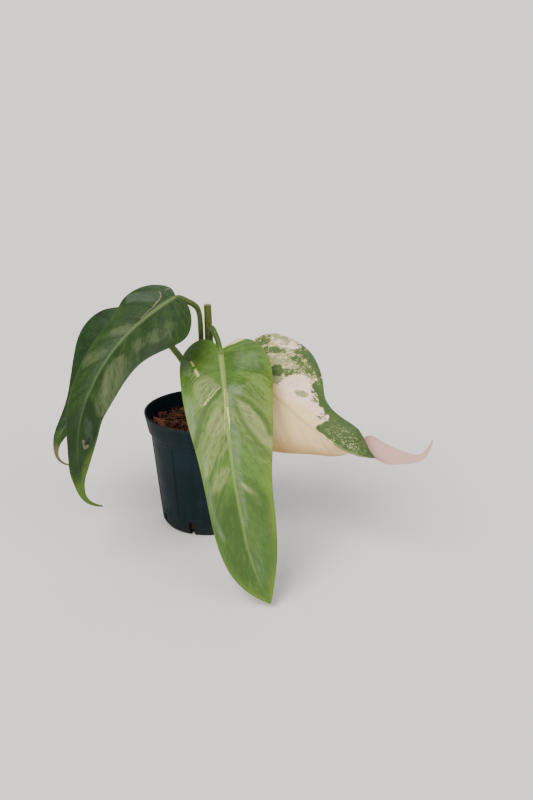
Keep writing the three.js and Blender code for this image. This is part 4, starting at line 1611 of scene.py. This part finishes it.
RIGHT_BEND = Bend(
    lobe=14,
    up=(0.1, -0.85, 0.6),
    spine=(
        (21, 1.5, 147, 0, 0, 0, -18, -18), (32, -10, 139, 0, 0, 0, -18, -18),
        (41.5, -21, 131.5, 0, 0, 0, -15, -15), (52.5, -34.5, 125, -4, -4, -4, -15, -15),
        (68, -48.5, 116, -14, -16, -12, -14, -12), (84.5, -62, 105.5, -24, -40, -24, -14, -8),
        (99.5, -72.5, 97.5, -38, -60, -36, -8, -4), (111, -79, 92, -60, -68, -60, 0, 0),
        (121, -81.5, 90, -100, -60, -65, 0, 0), (130.5, -83, 89.5, -140, -35, -35, 0, 0),
        (141, -84, 90, -170, -8, -8, 0, 0), (150.5, -84, 89.5, -180, 0, 0, 0, 0),
        (160.5, -84.5, 88.5, -180, 0, 0, 0, 0), (169.5, -84, 90, -180, 0, 0, 0, 0),
        (174.5, -79, 102.5, -180, 0, 0, 0, 0),
    ),
    left=(
        (-0.01, 1.5), (-0.03, 7), (-0.06, 15), (-0.06, 33), (-0.01, 50), (0.13, 54), (0.3, 42),
        (0.37, 27), (0.45, 26), (0.55, 30), (0.62, 20.5), (0.72, 9), (0.86, 2.6), (1, 0.6),
    ),
    right=(
        (-0.01, 1.5), (-0.02, 5), (-0.03, 11), (0, 21), (0.06, 30), (0.18, 36), (0.32, 42),
        (0.425, 29), (0.51, 19), (0.6, 19.5), (0.68, 23.5), (0.755, 16), (0.82, 5.5), (1, 0.6),
    ),
)

FRONT_MARKS: Marks = {
    Tint.PALE: (
        patch(6, 0.45, (46, 4), (80, 4), (86, 7), (89, 12), (89, 19), (81, 19), (64, 14)),
        patch(5, 0.7, (51, 6), (58, 4), (70, 4), (72, 10), (70, 14), (62, 13)),
        patch(2, 0.3, (49, 19), (54, 18), (70.5, 22), (69, 23.5), (58.5, 22)),
        patch(4, 0.45, (85, 14), (91, 14), (98, 17), (100, 20), (93, 19)),
        patch(5, 0.5, (98, 4), (105, 7), (113, 13), (113, 17), (108, 15), (102, 12)),
        patch(6, 0.5, (19, 22), (22, 16), (34, 4), (45, 16), (48, 18), (43, 20)),
        patch(7, 0.7, (46, -9), (52, -16), (67, -27), (82, -30), (79, -25), (59, -13)),
        patch(5, 0.35, (48, -21), (50, -30), (62, -34), (63, -29), (56, -23)),
        patch(5, 0.35, (74, -11), (76, -20), (88, -29), (92, -26), (86, -18)),
        patch(1.5, 0.85, (109, -5), (110, -6.5), (118, -11), (115.5, -8), (113.5, -6)),
        stroke(2, 3, 0.42, (116, -10), (126, -15)),
        patch(8, 0.25, (23, 20), (36, 3), (75, 4), (95, 14), (93, 21), (66, 23)),
        patch(10, 0.32, (40, -8), (23, -30), (46, -34), (87, -29), (93, -23), (69, -9)),
        patch(9, 0.16, (18, -14), (16, -25), (27, -30), (40, -24), (34, -14)),
        patch(8, 0.2, (119, 14), (124, 8), (142, 9), (140, 14)),
        patch(8, 0.2, (131, -4), (146, -10), (163, -9), (156, -3)),
    ),
    Tint.DEEP: (
        stroke(1.4, 3, 0.66, (36, 4), (41, 9), (47, 14), (56, 19), (64, 22), (72, 24), (79, 26)),
        stroke(1.6, 3, 0.62, (38, -5), (43, -10), (46, -16), (51, -21), (57, -25), (66, -30), (74, -31)),
        patch(4, 0.5, (4, -2), (2, -14), (6, -16), (26, -6), (33, -4), (33, -2), (21, -2)),
        patch(4, 0.3, (-18, 24), (-14, 11), (0, 2), (32, 3), (20, 18), (10, 21)),
        stroke(1.2, 3, 0.55, (44, -6), (56, -9), (69, -14), (83, -23), (91, -28)),
        stroke(1.2, 3.5, 0.45, (65, -4), (74, -10), (84, -18), (92, -25)),
        stroke(0.8, 3, 0.6, (110, 7), (114, 11), (118, 14), (124, 17), (131, 19)),
        stroke(3, 4, 0.55, (106, -4), (108, -10), (115, -15), (123, -19), (128, -20)),
        stroke(5, 8, 0.45, (140, -4), (158, -12)),
        stroke(4, 7, 0.45, (174, 6), (186, 5)),
        patch(9, 0.85, (126, 5), (180, 3), (175, 10), (150, 15), (128, 15)),
        patch(14, 0.66, (118, 18), (125, -17), (172, -16), (189, 1), (174, 11), (151, 18)),
    ),
    Tint.CREAM: (
        stroke(0.15, 0.8, 0.7, (33.5, 3.5), (39, 9.5), (44, 13), (47.5, 16.5)),
        stroke(0.15, 0.8, 0.55, (33.5, 7.5), (38.5, 11), (44, 15), (48.5, 17.5)),
        stroke(0.3, 0.9, 0.4, (-5, 25.5), (0.5, 24)),
        stroke(0.7, 1, 0.7, (4.5, 24), (11, 22)),
        stroke(1.2, 1.4, 0.66, (15, 21), (21, 19)),
        stroke(0.1, 0.5, 0.6, (34.5, 0), (46, 0.5), (56.5, 1.5), (67.5, 2.5)),
        stroke(0.1, 0.5, 0.6, (38, -2), (52.5, -1.5), (67.5, -1)),
        stroke(0.4, 0.7, 0.95, (50.5, -0.5), (55.5, -1), (62, -1.5)),
        stroke(0.1, 0.6, 0.4, (61.5, 0.5), (75.5, 1)),
        Zone(Half.LEFT, 0.1, 1.0, ((0, 0.2), (0.13, 0.6), (0.142, 0.86), (0.15, 1.3), (1, 1.3))),
    ),
    # Painted sheen: blue-grey reflection of the light along the margins and beside the midrib.
    Tint.VEIL: (
        patch(2.5, 0.3, (-2, 32), (2, 27), (11, 25), (20, 26), (16, 30)),
        patch(3, 0.3, (40, 28), (50, 26), (62, 25), (72, 27), (65, 29), (51, 29)),
        stroke(1.2, 2.5, 0.28, (87, 20), (98, 20), (115, 20), (134, 20), (148, 16)),
        patch(4, 0.42, (33, -5), (35, -12), (40, -11), (37, -4)),
        patch(3.5, 0.26, (38, -3), (41, -6), (68, -3), (66, -2)),
        patch(4.5, 0.28, (63, -2), (69, -6), (80, -6), (92, -4), (83, -2)),
        stroke(2, 3, 0.27, (84, -4), (103, -4), (116, -4), (128, -3), (140, -2)),
        stroke(3, 6, 0.14, (164, -4), (184, -4)),
        patch(9, 0.27, (4, -14), (3, -27), (15, -26), (17, -14)),
    ),
    Tint.LIME: (
        Zone(Half.LEFT, 0.14, 0.9, ((0, 1.2), (0.16, 1.0), (0.3, 0.86), (0.6, 0.84), (0.8, 0.8), (1, 0.8))),
        Zone(Half.RIGHT, 0.08, 0.7, ((0, 0.97), (0.3, 0.97), (0.6, 0.96), (0.85, 0.93), (1, 0.7))),
    ),
}

LEFT_MARKS: Marks = {
    Tint.CREAM: (
        stroke(0.2, 0.9, 0.35, (10.5, 23.5), (6, 18), (4, 14)),
        stroke(0.3, 1, 0.7, (4.5, 13.5), (5.5, 10), (9, 6.5), (14, 5.5), (18, 4)),
        stroke(0.2, 1, 0.52, (18, 4), (23.5, 3.5), (29, 2.5), (32, 2.5)),
        stroke(0.6, 0.9, 0.6, (-1, 12.5), (-6, 13)),
        patch(1.1, 0.42,
            (139, -5), (139.5, -7.5), (142, -8), (143.5, -12), (145, -12), (146, -9.5), (145.5, -6.5),
            (142, -5.5)),
    ),
    # Painted sheen: blue-grey reflection of the light on the far lobe and the near half.
    Tint.VEIL: (
        patch(9, 0.2, (42, 18), (13, 16), (-2, 8), (8, -4), (34, 0), (84, 1)),
        patch(7, 0.2, (34, -13), (8, -7), (11, -21), (26, -28), (40, -24)),
        patch(4, 0.5, (24, 32), (14, 26), (8, 16), (8, 10), (14, 8), (23, 22), (29, 26)),
        patch(4, 0.3, (123, -7), (125, -12), (138, -14), (136, -10)),
    ),
    Tint.PALE: (
        patch(4.5, 0.45, (54, 12), (49, 10), (44, 6), (43, 2), (48, 3), (55, 7)),
        patch(5, 0.42, (85, 16), (79, 17), (72, 13), (67, 6), (72, 6), (79, 10)),
        patch(6, 0.35, (42, -18), (36, -18), (27, -21), (22, -21), (27, -28), (35, -28), (40, -24)),
        patch(5, 0.35, (53, -13), (46, -14), (42, -18), (48, -21), (54, -19)),
        patch(6, 0.5,
            (65, -13), (69, -19), (78, -24), (98, -25), (109, -23), (116, -19), (110, -14), (101, -13),
            (91, -10), (72, -9)),
        patch(4.5, 0.72, (76, -8), (79, -13), (91, -17), (100, -18), (97, -15), (84, -9)),
        # Painted highlight: the thin pale line where the margin's edge catches the light.
        stroke(0.4, 0.8, 0.8, (120.5, -22), (134, -21), (144.5, -17.5)),
    ),
    Tint.DEEP: (
        patch(6, 0.6, (53, -24), (43, -27), (35, -34), (33, -39), (57, -30)),
        patch(4, 0.3, (70, -23), (68, -29), (89, -28), (84, -24)),
        patch(8, 0.6, (124, 10), (110, -5), (121, -18), (143, -15), (161, 1), (145, 9)),
        patch(4, 0.5, (125, -16), (122, -22), (136, -21), (143, -17), (140, -13)),
    ),
    # Painted shade: a near-black line where the tear's slit lies open, with no hole cut in the blade.
    Tint.SEAR: (
        stroke(1.1, 0.6, 1, (137.5, -13), (140.5, -11.5), (143, -9)),
    ),
    Tint.LIME: (
        stroke(8, 8, 1, (178, -1), (196, 0)),
        Zone(Half.LEFT, 0.2, 0.8, ((0, 1.3), (0.76, 1.2), (0.84, 0.8), (0.89, 0.45), (0.95, 0.3), (1, 0))),
        Zone(Half.RIGHT, 0.12, 0.5, ((0, 1.05), (0.5, 1.0), (0.9, 0.95), (0.95, 0.3), (1, 0))),
    ),
}

BACK_MARKS: Marks = {
    Tint.SEAR: (
        stroke(10, 10, 0.9, (133, 0), (146, 0)),
    ),
    Tint.LIME: (
        stroke(4, 9, 0.4, (116, 1), (124, 0)),
    ),
}

RIGHT_MARKS: Marks = {
    Tint.GREEN: (
        patch(1.2, 1.1,
            (20, -18), (23, -22.5), (26, -21.5), (31, -18), (31.5, -14.5), (28.5, -12), (20, -10)),
        patch(3, 0.64,
            (28, -21), (34, -26), (37, -32), (37, -36), (40, -37), (42, -32), (35, -19), (32, -17)),
        patch(1.5, 0.78,
            (-11, -22.5), (-10.5, -29.5), (-7, -34.5), (-2, -31.5), (-1.5, -26), (-3.5, -18.5)),
        patch(1.5, 0.82, (0.5, -22.5), (2.5, -29), (8.5, -32.5), (11.5, -30), (8.5, -24), (5, -20.5)),
        patch(1.2, 0.62, (10.5, -48), (15, -51.5), (20, -50), (18, -45)),
        patch(4, 0.6, (17, -43), (22, -48), (44, -46), (56, -40), (50, -35), (36, -33), (24, -34)),
        patch(4, 0.44, (10, -31), (17, -42), (26, -45), (37, -42), (31, -34), (22, -30)),
        patch(4, 0.9,
            (15, -50), (19, -51), (28, -51), (43, -47), (55, -41), (72, -29), (69, -25), (58, -36),
            (51, -39), (42, -42), (22, -45)),
        patch(1.4, 0.52, (57.5, -26.5), (59, -30.5), (71, -21), (68.5, -19), (62, -22)),
        patch(2.2, 1.08,
            (57, -28), (66.5, -26), (74, -20.5), (78, -21.5), (82, -19), (84.5, -20.5), (87, -20),
            (90, -14.5), (87.5, -5), (87.5, -3), (89.5, -1.5), (95.5, -2.5), (100.5, -1.5), (104.5, -2),
            (108.5, -0.5), (141, 0), (143, -30), (120, -40), (100, -45), (57, -45)),
        patch(1.5, 0.55,
            (79.5, -15.5), (82, -17.5), (84.5, -16.5), (86, -14.5), (83, -12), (83, -10.5), (80, -10.5)),
    ),
    # Grey-green sectors of the leaf.
    Tint.VEIL: (
        patch(2, 1.2, (28, -11), (33, -15), (35.5, -13), (36, -9), (34.5, -8), (28, -6)),
        patch(3, 0.6,
            (27, -21), (34, -26), (36, -32), (36, -38), (41, -38), (43, -32), (40, -26), (32, -16)),
        patch(4, 0.74,
            (-5, -25), (13, -38), (19, -44), (32, -44), (45, -40), (54, -36), (29, -22), (21, -19),
            (4, -20)),
        patch(4, 0.5, (-5, -35), (1, -44), (9, -49), (12, -41), (6, -34), (-1, -30)),
        patch(2.4, 0.95, (53, -14), (56, -18), (61, -19), (60, -15), (57, -13)),
        patch(3, 0.4, (40, -14), (45, -19), (50, -21), (47, -16)),
        stroke(2, 2.5, 0.55, (67, -19), (70, -20)),
        stroke(3, 5, 0.4, (10, -46), (26, -42), (44, -38), (58, -30), (76, -20)),
        stroke(3, 3, 0.8, (-9, -33), (-5, -39), (2, -43)),
    ),
    Tint.PALE: (
        patch(8, 0.9, (40, -12), (46, -30), (58, -30), (66, -14), (52, -8)),
        stroke(8, 8, 0.8, (0, -40), (12, -44)),
        stroke(5, 4, 0.8, (74, -16), (86, -14)),
    ),
    Tint.FLECK: (
        stroke(4, 4, 0.3, (96, -16), (101, -17), (108, -18)),
        stroke(3, 4, 0.32, (114, -14), (119, -12)),
        stroke(3, 4, 0.28, (105, -9), (112, -9)),
        stroke(3, 4, 0.34, (112, -7), (119, -6), (125, -4)),
        stroke(15, 4, 0.2, (92, -12), (126, -8)),
        stroke(3, 4, 0.26, (55, -36), (60, -33)),
    ),
    # Ochre band out to the near half's margin: partly the leaf's own tint, partly painted shade where that
    # half faces away from the light.
    Tint.LIME: (
        Zone(Half.RIGHT, 0.35, 1.0, ((0, 0.76), (0.3, 0.8), (0.6, 0.85), (0.8, 0.95), (1, 1.0))),
    ),
}


class Plant:
    """The whole potted plant: builds each piece in order and reports it."""

    def __init__(self) -> None:
        """Sets out the pieces."""
        self.materials: dict[str, Material] = {}
        self.pot = NurseryPot()
        self.mix = PottingMix(self.pot)
        self.stem = MainStem()
        front, left, back, right = self.blades = (
            Blade("front", "leaf_yellow_green", FRONT_BEND, YELLOW_GREEN_BLADE, FRONT_MARKS, seed=3),
            Blade("left", "leaf_green", LEFT_BEND, GREEN_BLADE, LEFT_MARKS, seed=11),
            Blade("back", "leaf_green", BACK_BEND, BACK_BLADE, BACK_MARKS, seed=17),
            Blade("right", "leaf_cream", RIGHT_BEND, CREAM_BLADE, RIGHT_MARKS, seed=23),
        )
        self.stalks = (
            Stalk("front", front, STALK, (
                (5.8, 0, 119), (5.6, -5.2, 131), (5.2, -5.8, 150), (5.2, -7.3, 163), (6.2, -12, 172.5),
                (9.7, -22, 168.5),
            )),
            Stalk("left", left, DARK_STALK, (
                (3.2, 1.8, 111), (-2, 2, 125), (-2.8, 1.5, 150), (-2.7, 0, 170), (-3.6, -2.5, 183),
                (-7.5, -6.5, 188), (-14.5, -11.5, 193),
            )),
            Stalk("back", back, BACK_STALK, (
                (4, 3, 99), (-4.5, 7.5, 110), (-11, 12.5, 122), (-22, 16, 139), (-36, 20, 154),
                (-49, 22, 165),
            ), stout=1.3),
            Stalk("right", right, BACK_STALK, (
                (5.5, 2, 90), (12.5, 4.5, 103), (15.5, 7.5, 120), (19, 6.5, 137), (23, 2, 144),
            )),
        )

    def dressed(self, finish: BladeFinish | StalkFinish | BarkFinish | PotFinish) -> Material:
        """The finish's material, made once.

        Args:
            finish: The finish that a piece is to have.

        Returns:
            The material.
        """
        if finish.name not in self.materials:
            self.materials[finish.name] = finish.material()
        return self.materials[finish.name]

    def build(self) -> None:
        """Builds the pot, the mix, the stem, the stalks and the blades."""
        pieces = [self.pot.build(self.dressed(PotFinish()))]
        pieces += self.mix.build(self.dressed(BARK), self.dressed(COIR))
        pieces.append(self.stem.build(self.dressed(STEM_SKIN)))
        pieces += [part.build(self.dressed(part.finish)) for part in (*self.stalks, *self.blades)]
        for piece in pieces:
            LOG.info("%s: %d faces", piece.name, len(piece.data.polygons))


def main() -> None:
    """Builds the studio and the plant."""
    logging.basicConfig(level=logging.INFO, format="%(name)s %(message)s")
    Studio().build()
    Plant().build()


if __name__ == "__main__":
    main()
